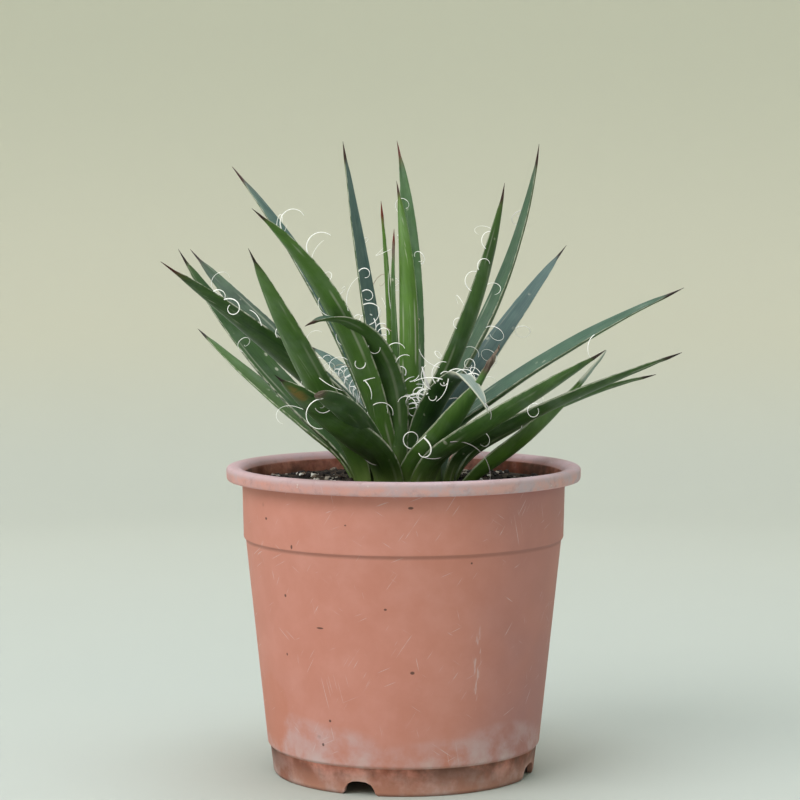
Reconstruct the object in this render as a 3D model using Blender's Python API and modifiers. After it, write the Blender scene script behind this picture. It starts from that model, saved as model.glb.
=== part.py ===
"""Potted agave: a thread-leaved rosette rooted in gritty soil in a thin nursery pot.

Units are metres, +Z is up. Azimuths are degrees seen from above, 0 towards the
front (-Y), 90 towards the right (+X) and 180 towards the back.
"""
import math
import random
from collections import namedtuple

import bmesh
import bpy
from mathutils import Matrix, Vector
from mathutils.bvhtree import BVHTree

MM = 0.001
NAME = "potted_agave"
GAP = 0.3 * MM                     # clearance between pieces that touch

# ---- pot -------------------------------------------------------------------
POT_HEIGHT = 108.0 * MM
RIM_RADIUS = 62.5 * MM             # widest edge of the lip
LIP_DROP = 4.8 * MM                # how far the lip's skirt hangs down
WALL = 1.3 * MM
SHOULDER_RADIUS = RIM_RADIUS - 5.6 * MM    # wall just under the lip
STEP_HEIGHT = POT_HEIGHT - 25.2 * MM   # first small step in the wall
STEP_RADIUS = SHOULDER_RADIUS - 0.5 * MM
STEP_INSET = 0.75 * MM
FOOT_HEIGHT = 10.1 * MM            # top of the foot band
FOOT_TOP_RADIUS = 0.754 * RIM_RADIUS
FOOT_RADIUS = FOOT_TOP_RADIUS - 1.1 * MM
FOOT_STEP = 0.9 * MM
FLOOR_LIFT = 6.0 * MM              # underside of the floor above the ground
NOTCH_WIDTH = 11.6 * MM
NOTCH_HEIGHT = 5.0 * MM
NOTCH_COUNT = 4
NOTCH_AZIMUTH = -19.0
DRAIN_RADIUS = 3.5 * MM
DRAIN_RING = 0.565 * FOOT_RADIUS
POT_SEGMENTS = 52

# ---- soil and stem -----------------------------------------------------------
SOIL_DEPTH = 6.5 * MM              # soil surface below the rim
SOIL_BUMP = 0.5 * MM
SOIL_SEGMENTS = 40
STEM_BOTTOM = POT_HEIGHT - 42.0 * MM   # tip of the buried crown
STEM_SEGMENTS = 24
TERRACE_STEP = 3.3 * MM            # radial room for one ring of leaf bases
TERRACE_DROP = (0.0, 1.2, 2.8, 4.9, 7.2, 8.8)   # mm below the growing point
CROWN_HEIGHT = POT_HEIGHT - 2.4 * MM   # seat of the innermost leaves
CORE_RADIUS = 0.6 * MM

# ---- leaves ------------------------------------------------------------------
LEAF_SCALE = 1.0                   # overall length factor of the foliage
WIDTH_SCALE = 1.0
BASE_THICKNESS = TERRACE_STEP - 2 * GAP
SPINE_WIDTH = 1.0 * MM
SEAT_SHARE = 0.86                  # part of its arc that a leaf base may fill
TURN = 0.3                         # share of the length used to bend outwards
RING_STATIONS = (0.0, 0.05, 0.12, 0.2, 0.3, 0.41, 0.52, 0.63, 0.74, 0.83, 0.9, 0.945)
UPPER = ((-1.0, 0.0), (-0.55, 0.2), (0.0, 0.25), (0.55, 0.2), (1.0, 0.0))
LOWER = ((0.8, -0.42), (0.42, -0.7), (0.0, -0.78), (-0.42, -0.7), (-0.8, -0.42))
SECTION = UPPER + LOWER
PLAIN, BLUNT, WITHERED = "plain", "blunt", "withered"
WIDTH_CURVE = {
    PLAIN: ((0, 0.92), (0.12, 0.9), (0.28, 1.0), (0.42, 1.0), (0.6, 0.88), (0.78, 0.6),
            (0.9, 0.31), (0.945, 0.0)),
    BLUNT: ((0, 0.92), (0.12, 0.92), (0.35, 1.0), (0.6, 0.95), (0.8, 0.8), (0.93, 0.55),
            (0.945, 0.45)),
    WITHERED: ((0, 0.92), (0.12, 0.92), (0.3, 1.0), (0.5, 0.9), (0.66, 0.6), (0.74, 0.32),
               (0.9, 0.22), (0.945, 0.12)),
}
THICK_CURVE = ((0, 0.8), (0.12, 0.95), (0.3, 1.0), (0.5, 0.82), (0.74, 0.55), (0.9, 0.3),
               (0.945, 0.0))

# seat: azimuth of the base on its terrace; heading and sweep: azimuth of the blade and
# its change on to the tip; rise, lean and droop: elevation at the base, past the first
# bend and its change on to the tip; roll: turn of the blade about its own length;
# fold: extra change of elevation past the station fold_at; lengths are in mm
Leaf = namedtuple("Leaf", "name look kind terrace seat heading sweep rise lean droop roll "
                          "length width thick fold fold_at", defaults=(0, 1))
INNER, MIDDLE, OUTER = "leaf_inner", "leaf_middle", "leaf_outer"
LEAVES = (
    Leaf("leaf_centre_tall", INNER, PLAIN, 0, 20, 11, 7, 84, 68, 52, -10, 105, 7.0, 2.4),
    Leaf("leaf_centre_young", INNER, PLAIN, 0, 140, 149, 0, 85, 113, -28, 0, 86, 2.8, 1.5),
    Leaf("leaf_centre_thin", INNER, PLAIN, 0, -100, -73, 4, 76, 92, -8, 20, 95, 3.6, 1.8),
    Leaf("leaf_right_tall", INNER, PLAIN, 1, 50, 52, 1, 106, 49, 30, -9, 110, 9.0, 3.2),
    Leaf("leaf_back_tallest", INNER, PLAIN, 1, 150, 173, 22, 80, 90, -38, 16, 128, 8.5, 3.0),
    Leaf("leaf_back_left_tall", INNER, PLAIN, 1, -120, -143, 1, 91, 74, 2, 16, 121, 8.5, 3.0),
    Leaf("leaf_left_tall", INNER, PLAIN, 1, -35, -38, 4, 68, 76, -51, 13, 125, 9.5, 3.4),
    Leaf("leaf_front_arched", MIDDLE, PLAIN, 2, -24, -33, -1, 90, 118, -138, -1, 94, 12.5, 3.8),
    Leaf("leaf_right_snapped", MIDDLE, PLAIN, 2, 36, 38, -12, 106, 86, -96, -10, 74, 10.0, 2.6,
         -38, 0.66),
    Leaf("leaf_back_right_tall", MIDDLE, PLAIN, 2, 132, 120, -5, 108, 42, 39, 0, 130, 9.5, 3.4),
    Leaf("leaf_back_left_spread", MIDDLE, PLAIN, 2, -150, -120, 0, 82, 70, -25, -8, 131, 10.0, 3.4),
    Leaf("leaf_left_long", MIDDLE, PLAIN, 2, -80, -62, 1, 96, 43, -10, 33, 116, 10.5, 3.8),
    Leaf("leaf_left_middle", MIDDLE, PLAIN, 4, -64, -35, 2, 82, 46, 6, 23, 109, 10.0, 3.6),
    Leaf("leaf_front_withered", MIDDLE, WITHERED, 3, 14, 46, 0, 100, 33, 24, -16, 67, 10.5, 3.4),
    Leaf("leaf_right_long", MIDDLE, PLAIN, 3, 80, 66, -2, 112, 40, -17, 34, 121, 9.5, 3.2),
    Leaf("leaf_back_right_mid", MIDDLE, PLAIN, 3, 140, 128, 0, 92, 51, -7, 32, 109, 8.5, 3.2),
    Leaf("leaf_back_left_mid", MIDDLE, PLAIN, 3, -145, -123, -4, 92, 33, 8, -35, 124, 11.0, 3.4),
    Leaf("leaf_front_right", OUTER, PLAIN, 4, 24, 45, -1, 90, 26, 1, -13, 102, 10.0, 3.6),
    Leaf("leaf_right_low_long", OUTER, PLAIN, 4, 86, 55, -2, 96, 27, -9, 4, 112, 10.5, 4.0),
    Leaf("leaf_back_left_short", OUTER, PLAIN, 4, -172, -148, 4, 82, 60, -46, -13, 80, 8.5, 2.6),
    Leaf("leaf_left_outer", OUTER, PLAIN, 4, -112, -102, -4, 78, 37, 20, -25, 110, 11.5, 3.8),
    Leaf("leaf_front_left_spotted", OUTER, PLAIN, 4, -20, -29, 0, 101, 24, 1, 31, 91, 11.0, 3.8),
    Leaf("leaf_front_blunt", OUTER, BLUNT, 3, -48, -10, -6, 96, 29, -20, 37, 95, 8.5, 3.4),
    Leaf("leaf_back_low", OUTER, PLAIN, 4, 135, 158, 4, 85, 40, -16, 0, 88, 11.0, 3.6),
    Leaf("leaf_left_lowest", OUTER, PLAIN, 5, -128, -123, -6, 79, 29, 5, -6, 97, 9.0, 3.0),
    Leaf("leaf_back_right_lowest", OUTER, PLAIN, 5, 120, 107, -2, 90, 35, -25, -16, 93, 9.5, 3.2),
    Leaf("leaf_right_lowest", OUTER, WITHERED, 5, 80, 84, 0, 62, 29, 25, -29, 74, 9.5, 3.4),
    Leaf("leaf_back_lowest", OUTER, PLAIN, 5, -178, -172, 6, 85, 26, -6, 0, 84, 10.5, 3.4),
)

FINISHES = {
    "pot_plastic": ((0.50, 0.20, 0.13), 0.6),
    "potting_mix": ((0.035, 0.025, 0.02), 0.95),
    "crown_tissue": ((0.30, 0.32, 0.14), 0.7),
    INNER: ((0.09, 0.20, 0.05), 0.45),
    MIDDLE: ((0.05, 0.13, 0.05), 0.45),
    OUTER: ((0.06, 0.14, 0.06), 0.5),
}


def clear_scene():
    for item in list(bpy.data.objects):
        bpy.data.objects.remove(item, do_unlink=True)


def new_collection(name):
    group = bpy.data.collections.new(name)
    bpy.context.scene.collection.children.link(group)
    return group


def finish(slot):
    """The shared material of one slot, made on first use."""
    if slot in bpy.data.materials:
        return bpy.data.materials[slot]
    colour, roughness = FINISHES[slot]
    made = bpy.data.materials.new(slot)
    made.use_nodes = True
    shader = made.node_tree.nodes["Principled BSDF"]
    shader.inputs["Base Color"].default_value = (*colour, 1.0)
    shader.inputs["Roughness"].default_value = roughness
    return made


def object_from(bm, name, group, slot=None):
    mesh = bpy.data.meshes.new(name)
    bmesh.ops.recalc_face_normals(bm, faces=bm.faces)
    bm.to_mesh(mesh)
    bm.free()
    item = bpy.data.objects.new(name, mesh)
    group.objects.link(item)
    if slot:
        item.data.materials.append(finish(slot))
    return item


def solid_from_curve(curve, name, placing, group):
    """Turn an extruded outline into a closed mesh object."""
    guide = bpy.data.objects.new(name + "_outline", curve)
    bpy.context.scene.collection.objects.link(guide)
    graph = bpy.context.evaluated_depsgraph_get()
    mesh = bpy.data.meshes.new_from_object(guide.evaluated_get(graph))
    bpy.data.objects.remove(guide, do_unlink=True)
    bm = bmesh.new()
    bm.from_mesh(mesh)
    bmesh.ops.remove_doubles(bm, verts=bm.verts, dist=0.00001)
    solid = object_from(bm, name, group)
    solid.matrix_world = placing
    return solid


def polar(radius, azimuth, height):
    angle = math.radians(azimuth)
    return Vector((radius * math.sin(angle), -radius * math.cos(angle), height))


def curve_value(points, at):
    """Straight-line reading of a table of (station, value) points."""
    if at <= points[0][0]:
        return points[0][1]
    for (s0, v0), (s1, v1) in zip(points, points[1:]):
        if at <= s1:
            return v0 + (v1 - v0) * (at - s0) / (s1 - s0)
    return points[-1][1]


# ---- turned pieces -------------------------------------------------------------
def turn_profile(name, profile, segments, group, slot):
    """Spin an outline of (radius, height) points about the vertical axis."""
    bm = bmesh.new()
    corners = [bm.verts.new((radius, 0.0, height)) for radius, height in profile]
    for first, second in zip(corners, corners[1:]):
        bm.edges.new((first, second))
    mesh = bpy.data.meshes.new(name)
    bm.to_mesh(mesh)
    bm.free()
    item = bpy.data.objects.new(name, mesh)
    group.objects.link(item)
    spin = item.modifiers.new("turn", "SCREW")
    spin.steps = spin.render_steps = segments
    spin.use_merge_vertices = True
    spin.merge_threshold = 0.00005
    item.data.materials.append(finish(slot))
    return item


def apply_modifiers(item):
    graph = bpy.context.evaluated_depsgraph_get()
    baked = bpy.data.meshes.new_from_object(item.evaluated_get(graph))
    item.modifiers.clear()
    item.data = baked


def wall_radius(height):
    """Outside radius of the pot wall at a height between foot and lip."""
    if height >= STEP_HEIGHT:
        run = (height - STEP_HEIGHT) / (POT_HEIGHT - LIP_DROP - STEP_HEIGHT)
        return STEP_RADIUS + (SHOULDER_RADIUS - STEP_RADIUS) * run
    run = (height - FOOT_HEIGHT) / (STEP_HEIGHT - FOOT_HEIGHT)
    low = FOOT_TOP_RADIUS + FOOT_STEP
    return low + (STEP_RADIUS - STEP_INSET - low) * run


def pot_profile():
    top, rim, skirt = POT_HEIGHT, RIM_RADIUS, POT_HEIGHT - LIP_DROP
    inside = FOOT_TOP_RADIUS + FOOT_STEP - WALL
    floor_top = FLOOR_LIFT + WALL
    shoulder, inner_top = SHOULDER_RADIUS, SHOULDER_RADIUS - WALL
    return (
        (0.0, floor_top), (inside * 0.55, floor_top), (inside - 2.6 * MM, floor_top),
        (inside - 1.2 * MM, floor_top + 0.5 * MM), (inside - 0.5 * MM, floor_top + 1.7 * MM),
        (inside, FOOT_HEIGHT + 1.0 * MM), (wall_radius(STEP_HEIGHT * 0.55) - WALL, STEP_HEIGHT * 0.55),
        (STEP_RADIUS - STEP_INSET - WALL, STEP_HEIGHT - 1.0 * MM),
        (STEP_RADIUS - WALL, STEP_HEIGHT + 0.2 * MM), (inner_top, skirt),
        (inner_top + 0.4 * MM, top - 2.6 * MM), (inner_top + 1.3 * MM, top - 1.1 * MM),
        (inner_top + 2.6 * MM, top - 0.25 * MM), (inner_top + 3.8 * MM, top),
        (rim - 1.3 * MM, top), (rim - 0.4 * MM, top - 0.35 * MM), (rim, top - 1.2 * MM),
        (rim - 0.15 * MM, skirt + 0.7 * MM), (rim - 0.5 * MM, skirt), (rim - 1.1 * MM, skirt),
        (rim - 1.45 * MM, skirt + 0.6 * MM), (rim - 1.5 * MM, top - 2.1 * MM),
        (rim - 2.1 * MM, top - 1.6 * MM), (shoulder + 1.9 * MM, top - 1.8 * MM),
        (shoulder + 0.5 * MM, top - 3.2 * MM), (shoulder, skirt - 0.6 * MM),
        (STEP_RADIUS, STEP_HEIGHT + 0.4 * MM), (STEP_RADIUS - 0.2 * MM, STEP_HEIGHT),
        (STEP_RADIUS - STEP_INSET, STEP_HEIGHT - 0.6 * MM),
        (FOOT_TOP_RADIUS + FOOT_STEP, FOOT_HEIGHT + 0.5 * MM),
        (FOOT_TOP_RADIUS + 0.6 * FOOT_STEP, FOOT_HEIGHT), (FOOT_TOP_RADIUS, FOOT_HEIGHT - 0.5 * MM),
        (FOOT_RADIUS, 0.8 * MM), (FOOT_RADIUS - 0.3 * MM, 0.15 * MM),
        (FOOT_RADIUS - 0.5 * MM, 0.0), (FOOT_RADIUS - 1.5 * MM, 0.0),
        (FOOT_RADIUS - 1.8 * MM, 0.3 * MM), (FOOT_RADIUS - 1.3 * MM, FLOOR_LIFT - 0.8 * MM),
        (FOOT_RADIUS - 2.2 * MM, FLOOR_LIFT), (0.0, FLOOR_LIFT),
    )


def arch_cutter(azimuth, group):
    """An arched block with flared feet, lying through the foot at one azimuth."""
    half, top = NOTCH_WIDTH / 2, NOTCH_HEIGHT
    side = ((1.3, -0.4), (1.12, 0.0), (0.97, 0.16), (0.9, 0.45), (0.74, 0.76), (0.42, 0.95))
    outline = [(half * x, top * z) for x, z in side] + [(0.0, top)]
    outline += [(-half * x, top * z) for x, z in reversed(side)]
    flat = bpy.data.curves.new("arch_outline", "CURVE")
    flat.dimensions, flat.fill_mode, flat.extrude = "2D", "BOTH", 5.0 * MM
    spline = flat.splines.new("POLY")
    spline.points.add(len(outline) - 1)
    for point, (x, z) in zip(spline.points, outline):
        point.co = (x, z, 0.0, 1.0)
    spline.use_cyclic_u = True
    upright = Matrix.Rotation(math.radians(azimuth), 4, "Z")
    upright @= Matrix.Translation((0.0, -FOOT_RADIUS, 0.0)) @ Matrix.Rotation(math.pi / 2, 4, "X")
    return solid_from_curve(flat, f"cut_notch_{round(azimuth)}", upright, group)


def drain_cutter(index, radius, place, group):
    bm = bmesh.new()
    bmesh.ops.create_cone(bm, cap_ends=True, segments=20, radius1=radius, radius2=radius,
                          depth=8.0 * MM)
    cutter = object_from(bm, f"cut_drain_{index}", group)
    cutter.location = place
    return cutter


def cut(item, cutters, solver="EXACT"):
    for number, cutter in enumerate(cutters):
        cutter.hide_render = True
        cutter.display_type = "WIRE"
        tool = item.modifiers.new(f"cut_{number}", "BOOLEAN")
        tool.operation = "DIFFERENCE"
        tool.solver = solver
        tool.object = cutter


def build_pot(group, cutter_group):
    pot = turn_profile("pot", pot_profile(), POT_SEGMENTS, group, "pot_plastic")
    turns = [NOTCH_AZIMUTH + 360.0 / NOTCH_COUNT * number for number in range(NOTCH_COUNT)]
    cutters = [arch_cutter(turn, cutter_group) for turn in turns]
    places = [Vector((0.0, 0.0, FLOOR_LIFT))]
    places += [polar(DRAIN_RING, turn + 45.0, FLOOR_LIFT) for turn in turns]
    cutters += [drain_cutter(number, DRAIN_RADIUS, place, cutter_group)
                for number, place in enumerate(places)]
    cut(pot, cutters)
    return pot


# ---- stem and soil -------------------------------------------------------------
def terrace_radius(terrace):
    return CORE_RADIUS + TERRACE_STEP * (terrace + 0.5)


def terrace_height(terrace):
    return CROWN_HEIGHT - TERRACE_DROP[terrace] * MM


def stem_radius():
    return CORE_RADIUS + TERRACE_STEP * len(TERRACE_DROP)


def stem_profile():
    """Stepped crown: one terrace for each ring of leaf bases, tapering into the soil."""
    outer, ledge = stem_radius(), terrace_height(len(TERRACE_DROP) - 1)
    points = [(0.0, terrace_height(0))]
    for terrace in range(len(TERRACE_DROP)):
        edge = CORE_RADIUS + TERRACE_STEP * (terrace + 1)
        points.append((edge, terrace_height(terrace)))
        if terrace + 1 < len(TERRACE_DROP):
            points.append((edge, terrace_height(terrace + 1)))
    points += [(outer, ledge - 3.0 * MM), (outer * 0.86, ledge - 12.0 * MM),
               (outer * 0.5, STEM_BOTTOM + 5.0 * MM), (outer * 0.2, STEM_BOTTOM),
               (0.0, STEM_BOTTOM)]
    return points


def soil_profile():
    """Fill of the pot, hollowed to take the crown and lapping over its lowest terrace."""
    surface = POT_HEIGHT - SOIL_DEPTH
    outer, ledge = stem_radius() + GAP, terrace_height(len(TERRACE_DROP) - 1)
    neck = outer - TERRACE_STEP
    wall = wall_radius(surface) - WALL - GAP
    inside = FOOT_TOP_RADIUS + FOOT_STEP - WALL - GAP
    bottom = FLOOR_LIFT + WALL + GAP
    hollow = [(0.0, STEM_BOTTOM - GAP), (outer * 0.2 + GAP, STEM_BOTTOM - GAP),
              (outer * 0.5 + GAP, STEM_BOTTOM + 5.0 * MM - GAP),
              (outer * 0.86 + GAP, ledge - 12.0 * MM), (outer, ledge - 3.0 * MM),
              (outer, ledge + GAP), (neck, ledge + GAP), (neck, surface - 0.6 * MM)]
    start, steps = neck + 1.2 * MM, 6
    top = [(start + (wall - start) * number / steps, surface) for number in range(steps + 1)]
    side = [(STEP_RADIUS - WALL - GAP, STEP_HEIGHT + 0.4 * MM),
            (STEP_RADIUS - STEP_INSET - WALL - GAP, STEP_HEIGHT - 1.0 * MM),
            (inside - 0.1 * MM, FOOT_HEIGHT + 1.4 * MM), (inside - 1.2 * MM, bottom + 2.6 * MM),
            (inside - 3.4 * MM, bottom), (0.0, bottom)]
    return hollow + top + side


def roughen_soil(soil):
    """Lift and lower the free surface a little, leaving its rim and pocket alone."""
    dice = random.Random(11)
    surface = POT_HEIGHT - SOIL_DEPTH
    for vertex in soil.data.vertices:
        radius = math.hypot(vertex.co.x, vertex.co.y)
        near_top = abs(vertex.co.z - surface) < 1.0e-6
        if near_top and radius < wall_radius(surface) - WALL - 2 * GAP:
            vertex.co.z += dice.uniform(-SOIL_BUMP, SOIL_BUMP)


# ---- leaves ------------------------------------------------------------------
def leaf_direction(leaf, at):
    """Unit heading of the blade at a station between 0 (base) and 1 (tip)."""
    ease = max(0.0, 1.0 - at / TURN) ** 2
    elevation = leaf.lean + (leaf.rise - leaf.lean) * ease + leaf.droop * at
    if at > leaf.fold_at:
        elevation += leaf.fold * min(1.0, (at - leaf.fold_at) / 0.06)
    rise, turn = math.radians(elevation), math.radians(leaf.heading + leaf.sweep * at)
    flat = math.cos(rise)
    return Vector((flat * math.sin(turn), -flat * math.cos(turn), math.sin(rise))), turn


def leaf_frames(leaf, steps=60):
    """Centreline points and directions of a leaf, evenly spaced from base to tip."""
    length = leaf.length * MM * LEAF_SCALE
    seat = terrace_height(leaf.terrace) + GAP
    place = polar(terrace_radius(leaf.terrace), leaf.seat, seat)
    frames = [(place.copy(), *leaf_direction(leaf, 0.0))]
    for step in range(steps):
        middle, _ = leaf_direction(leaf, (step + 0.5) / steps)
        place = place + middle * (length / steps)
        frames.append((place.copy(), *leaf_direction(leaf, (step + 1.0) / steps)))
    return frames


def seat_width(leaf):
    """Widest base that still leaves room for its neighbours on the terrace."""
    fellows = sum(1 for other in LEAVES if other.terrace == leaf.terrace)
    share = 2 * math.pi * terrace_radius(leaf.terrace) / fellows
    return min(leaf.width * MM * WIDTH_SCALE, share * SEAT_SHARE)


def leaf_ring(leaf, frames, at, grow):
    """Corner points of the cross-section at a station."""
    place, along, turn = frames[round(at * (len(frames) - 1))]
    across = Vector((math.cos(turn), math.sin(turn), 0.0))
    normal = across.cross(along).normalized() * -1.0
    settled = min(1.0, at / TURN)
    full = leaf.width * MM * WIDTH_SCALE * curve_value(WIDTH_CURVE[leaf.kind], at)
    width = seat_width(leaf) * (1.0 - settled) + full * settled
    width = max(width, SPINE_WIDTH)
    thick = leaf.thick * MM * curve_value(THICK_CURVE, at)
    thick = min(thick, BASE_THICKNESS) * (1.0 - settled) + thick * settled
    thick = max(thick, SPINE_WIDTH)
    seat_cup = width ** 2 / (8.0 * terrace_radius(leaf.terrace))
    cup = seat_cup * (1.0 - settled) + 0.09 * width * settled
    base_turn = math.radians(leaf.seat)
    if settled < 1.0:
        seat_across = Vector((math.cos(base_turn), math.sin(base_turn), 0.0))
        across = (seat_across * (1.0 - settled) + across * settled).normalized()
        normal = across.cross(along).normalized() * -1.0
    rolled = math.radians(leaf.roll * settled)
    across, normal = (across * math.cos(rolled) + normal * math.sin(rolled),
                      normal * math.cos(rolled) - across * math.sin(rolled))
    half, stretch = width / 2, 1.0 + 2 * grow / width
    ring = [place + across * (half * u * stretch)
            + normal * (thick * n + cup * u * u + math.copysign(grow, n)) for u, n in SECTION]
    if at == 0.0:
        for point in ring:
            point.z = place.z - grow
    return ring


def build_leaf(leaf, group, grow=0.0, suffix=""):
    """Loft a leaf through its cross-sections and close it in a point."""
    frames = leaf_frames(leaf)
    bm = bmesh.new()
    rings = [[bm.verts.new(point) for point in leaf_ring(leaf, frames, at, grow)]
             for at in RING_STATIONS]
    count = len(SECTION)
    for low, high in zip(rings, rings[1:]):
        for side in range(count):
            after = (side + 1) % count
            bm.faces.new((low[side], low[after], high[after], high[side]))
    place, along, _ = frames[-1]
    tip = bm.verts.new(place + along * grow)
    for side in range(count):
        bm.faces.new((rings[-1][side], rings[-1][(side + 1) % count], tip))
    bm.faces.new(list(reversed(rings[0])))
    return object_from(bm, leaf.name + suffix, group, None if suffix else leaf.look)


def tree_of(item):
    bm = bmesh.new()
    bm.from_mesh(item.data)
    bm.transform(item.matrix_world)
    bmesh.ops.triangulate(bm, faces=bm.faces)
    tree = BVHTree.FromBMesh(bm)
    bm.free()
    return tree


def shade(item):
    item.data.shade_smooth()
    item.data.set_sharp_from_angle(angle=math.radians(50.0))


def keep_largest(item):
    """Drop offcuts so that the piece stays one body."""
    bm = bmesh.new()
    bm.from_mesh(item.data)
    left, bodies = set(bm.verts), []
    while left:
        body, queue = set(), [next(iter(left))]
        while queue:
            vertex = queue.pop()
            if vertex in body:
                continue
            body.add(vertex)
            queue += [edge.other_vert(vertex) for edge in vertex.link_edges]
        bodies.append(body)
        left -= body
    bodies.sort(key=len, reverse=True)
    for body in bodies[1:]:
        bmesh.ops.delete(bm, geom=list(body), context="VERTS")
    bmesh.ops.recalc_face_normals(bm, faces=bm.faces)
    bm.to_mesh(item.data)
    bm.free()


def build_leaves(group, cutter_group):
    """Loft every leaf from the centre outwards; later ones make room for earlier ones."""
    made, cutters = [], []
    for leaf in LEAVES:
        piece = build_leaf(leaf, group)
        clashing = [tool for tool in cutters if tree_of(tool).overlap(tree_of(piece))]
        if clashing:
            cut(piece, clashing, "MANIFOLD")
            apply_modifiers(piece)
            keep_largest(piece)
        made.append(piece)
        cutters.append(build_leaf(leaf, cutter_group, GAP, "_clearance"))
    return made


def socket_soil(soil, cutter_group):
    """Open a socket in the soil for every leaf that comes up through it."""
    surface = tree_of(soil)
    sockets = [build_leaf(leaf, cutter_group, 2 * GAP, "_socket") for leaf in LEAVES]
    dipping = [tool for tool in sockets if tree_of(tool).overlap(surface)]
    if dipping:
        cut(soil, dipping, "MANIFOLD")
        apply_modifiers(soil)
        keep_largest(soil)


def centre_on_plan(pieces):
    """Move the whole plant sideways so that its bounding box is centred on the Z axis."""
    corners = [vertex.co for piece in pieces for vertex in piece.data.vertices]
    for axis in (0, 1):
        values = [corner[axis] for corner in corners]
        middle = (min(values) + max(values)) / 2
        for piece in pieces:
            piece.location[axis] = -middle


def build():
    clear_scene()
    group, cutter_group = new_collection(NAME), new_collection("cutters")
    pot = build_pot(group, cutter_group)
    stem = turn_profile("stem", stem_profile(), STEM_SEGMENTS, group, "crown_tissue")
    soil = turn_profile("soil", soil_profile(), SOIL_SEGMENTS, group, "potting_mix")
    bpy.context.view_layer.update()
    for piece in (pot, stem, soil):
        apply_modifiers(piece)
    roughen_soil(soil)
    leaves = build_leaves(group, cutter_group)
    socket_soil(soil, cutter_group)
    for tool in cutter_group.objects:
        tool.hide_render = True
        tool.display_type = "WIRE"
    pieces = [pot, stem, soil] + leaves
    centre_on_plan(pieces)
    for piece in pieces:
        shade(piece)


build()
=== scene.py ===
"""Potted agave: the looks of a thread-leaved rosette in a dusty nursery pot.

Lengths are metres in the row frame, +Z is up and the plant's front faces -Y.
Azimuths are degrees seen from above, 0 at the front and 90 at the right.
"""

import logging
import math
import random
from dataclasses import dataclass, field
from enum import Enum
from typing import Any, Optional, Sequence, Union

import bmesh
import bpy
import numpy as np
from mathutils import Matrix, Vector, noise

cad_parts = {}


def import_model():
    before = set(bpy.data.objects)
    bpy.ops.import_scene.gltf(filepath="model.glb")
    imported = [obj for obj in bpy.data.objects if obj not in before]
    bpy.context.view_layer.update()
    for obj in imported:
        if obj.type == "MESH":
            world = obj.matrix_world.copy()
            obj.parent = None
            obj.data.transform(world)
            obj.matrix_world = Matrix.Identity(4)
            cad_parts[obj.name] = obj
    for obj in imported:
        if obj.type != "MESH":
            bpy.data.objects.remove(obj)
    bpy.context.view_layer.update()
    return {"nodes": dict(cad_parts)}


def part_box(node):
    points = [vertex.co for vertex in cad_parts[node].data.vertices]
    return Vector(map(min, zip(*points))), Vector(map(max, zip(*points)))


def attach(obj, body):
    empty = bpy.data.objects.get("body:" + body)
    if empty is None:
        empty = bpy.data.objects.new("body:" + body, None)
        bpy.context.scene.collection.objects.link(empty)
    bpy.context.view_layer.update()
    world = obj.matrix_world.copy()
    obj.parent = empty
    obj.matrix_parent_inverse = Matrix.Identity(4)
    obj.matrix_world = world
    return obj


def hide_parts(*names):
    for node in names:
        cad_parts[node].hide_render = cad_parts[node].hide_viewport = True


MM = 0.001
LOG = logging.getLogger("potted_agave")


def srgb(red: int, green: int, blue: int) -> tuple[float, float, float, float]:
    """Linear colour of an 8-bit screen colour."""
    def bend(level: float) -> float:
        """Undo the screen curve of one channel."""
        return level / 12.92 if level <= 0.04045 else ((level + 0.055) / 1.055) ** 2.4
    return (*(bend(level / 255.0) for level in (red, green, blue)), 1.0)


def polar(radius: float, azimuth: float, height: float) -> Vector:
    """Point at a distance from the Z axis and an azimuth in degrees."""
    angle = math.radians(azimuth)
    return Vector((radius * math.sin(angle), -radius * math.cos(angle), height))


def flowing(points: Sequence[tuple[float, float]], at: float) -> float:
    """Smooth reading of a table of stations and values.

    Args:
        points: Stations in rising order, each with its value.
        at: Station to read.

    Returns:
        The value on a curve that passes through every point.
    """
    if at <= points[0][0]:
        return points[0][1]
    for number in range(len(points) - 1):
        (low, start), (high, end) = points[number], points[number + 1]
        if at > high:
            continue
        before = points[max(0, number - 1)]
        after = points[min(len(points) - 1, number + 2)]
        span = high - low
        tilt_in = (end - before[1]) / (high - before[0]) * span
        tilt_out = (after[1] - start) / (after[0] - low) * span
        s = (at - low) / span
        return ((2 * s ** 3 - 3 * s ** 2 + 1) * start + (s ** 3 - 2 * s ** 2 + s) * tilt_in
                + (3 * s ** 2 - 2 * s ** 3) * end + (s ** 3 - s ** 2) * tilt_out)
    return points[-1][1]


# ---- materials -----------------------------------------------------------------
Colour = tuple[float, float, float, float]


class Wire:
    """A socket's value on its way through a finish, used in plain expressions."""

    def __init__(self, bench: "Bench", socket: bpy.types.NodeSocket) -> None:
        """Hold a socket of the bench's node tree."""
        self.bench = bench
        self.socket = socket

    def __add__(self, other: "Feed") -> "Wire":
        """Sum."""
        return self.bench.math("ADD", self, other)

    __radd__ = __add__

    def __sub__(self, other: "Feed") -> "Wire":
        """Difference."""
        return self.bench.math("SUBTRACT", self, other)

    def __rsub__(self, other: "Feed") -> "Wire":
        """Difference taken from the other value."""
        return self.bench.math("SUBTRACT", other, self)

    def __mul__(self, other: "Feed") -> "Wire":
        """Product."""
        return self.bench.math("MULTIPLY", self, other)

    __rmul__ = __mul__

    def __truediv__(self, other: "Feed") -> "Wire":
        """Quotient."""
        return self.bench.math("DIVIDE", self, other)

    def __pow__(self, other: "Feed") -> "Wire":
        """Power."""
        return self.bench.math("POWER", self, other)

    def __abs__(self) -> "Wire":
        """Size without its sign."""
        return self.bench.math("ABSOLUTE", self)

    def rise(self, low: float, high: float) -> "Wire":
        """Soft step from 0 at one level to 1 at another, either way round."""
        return self.bench.step(self, low, high)


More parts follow.
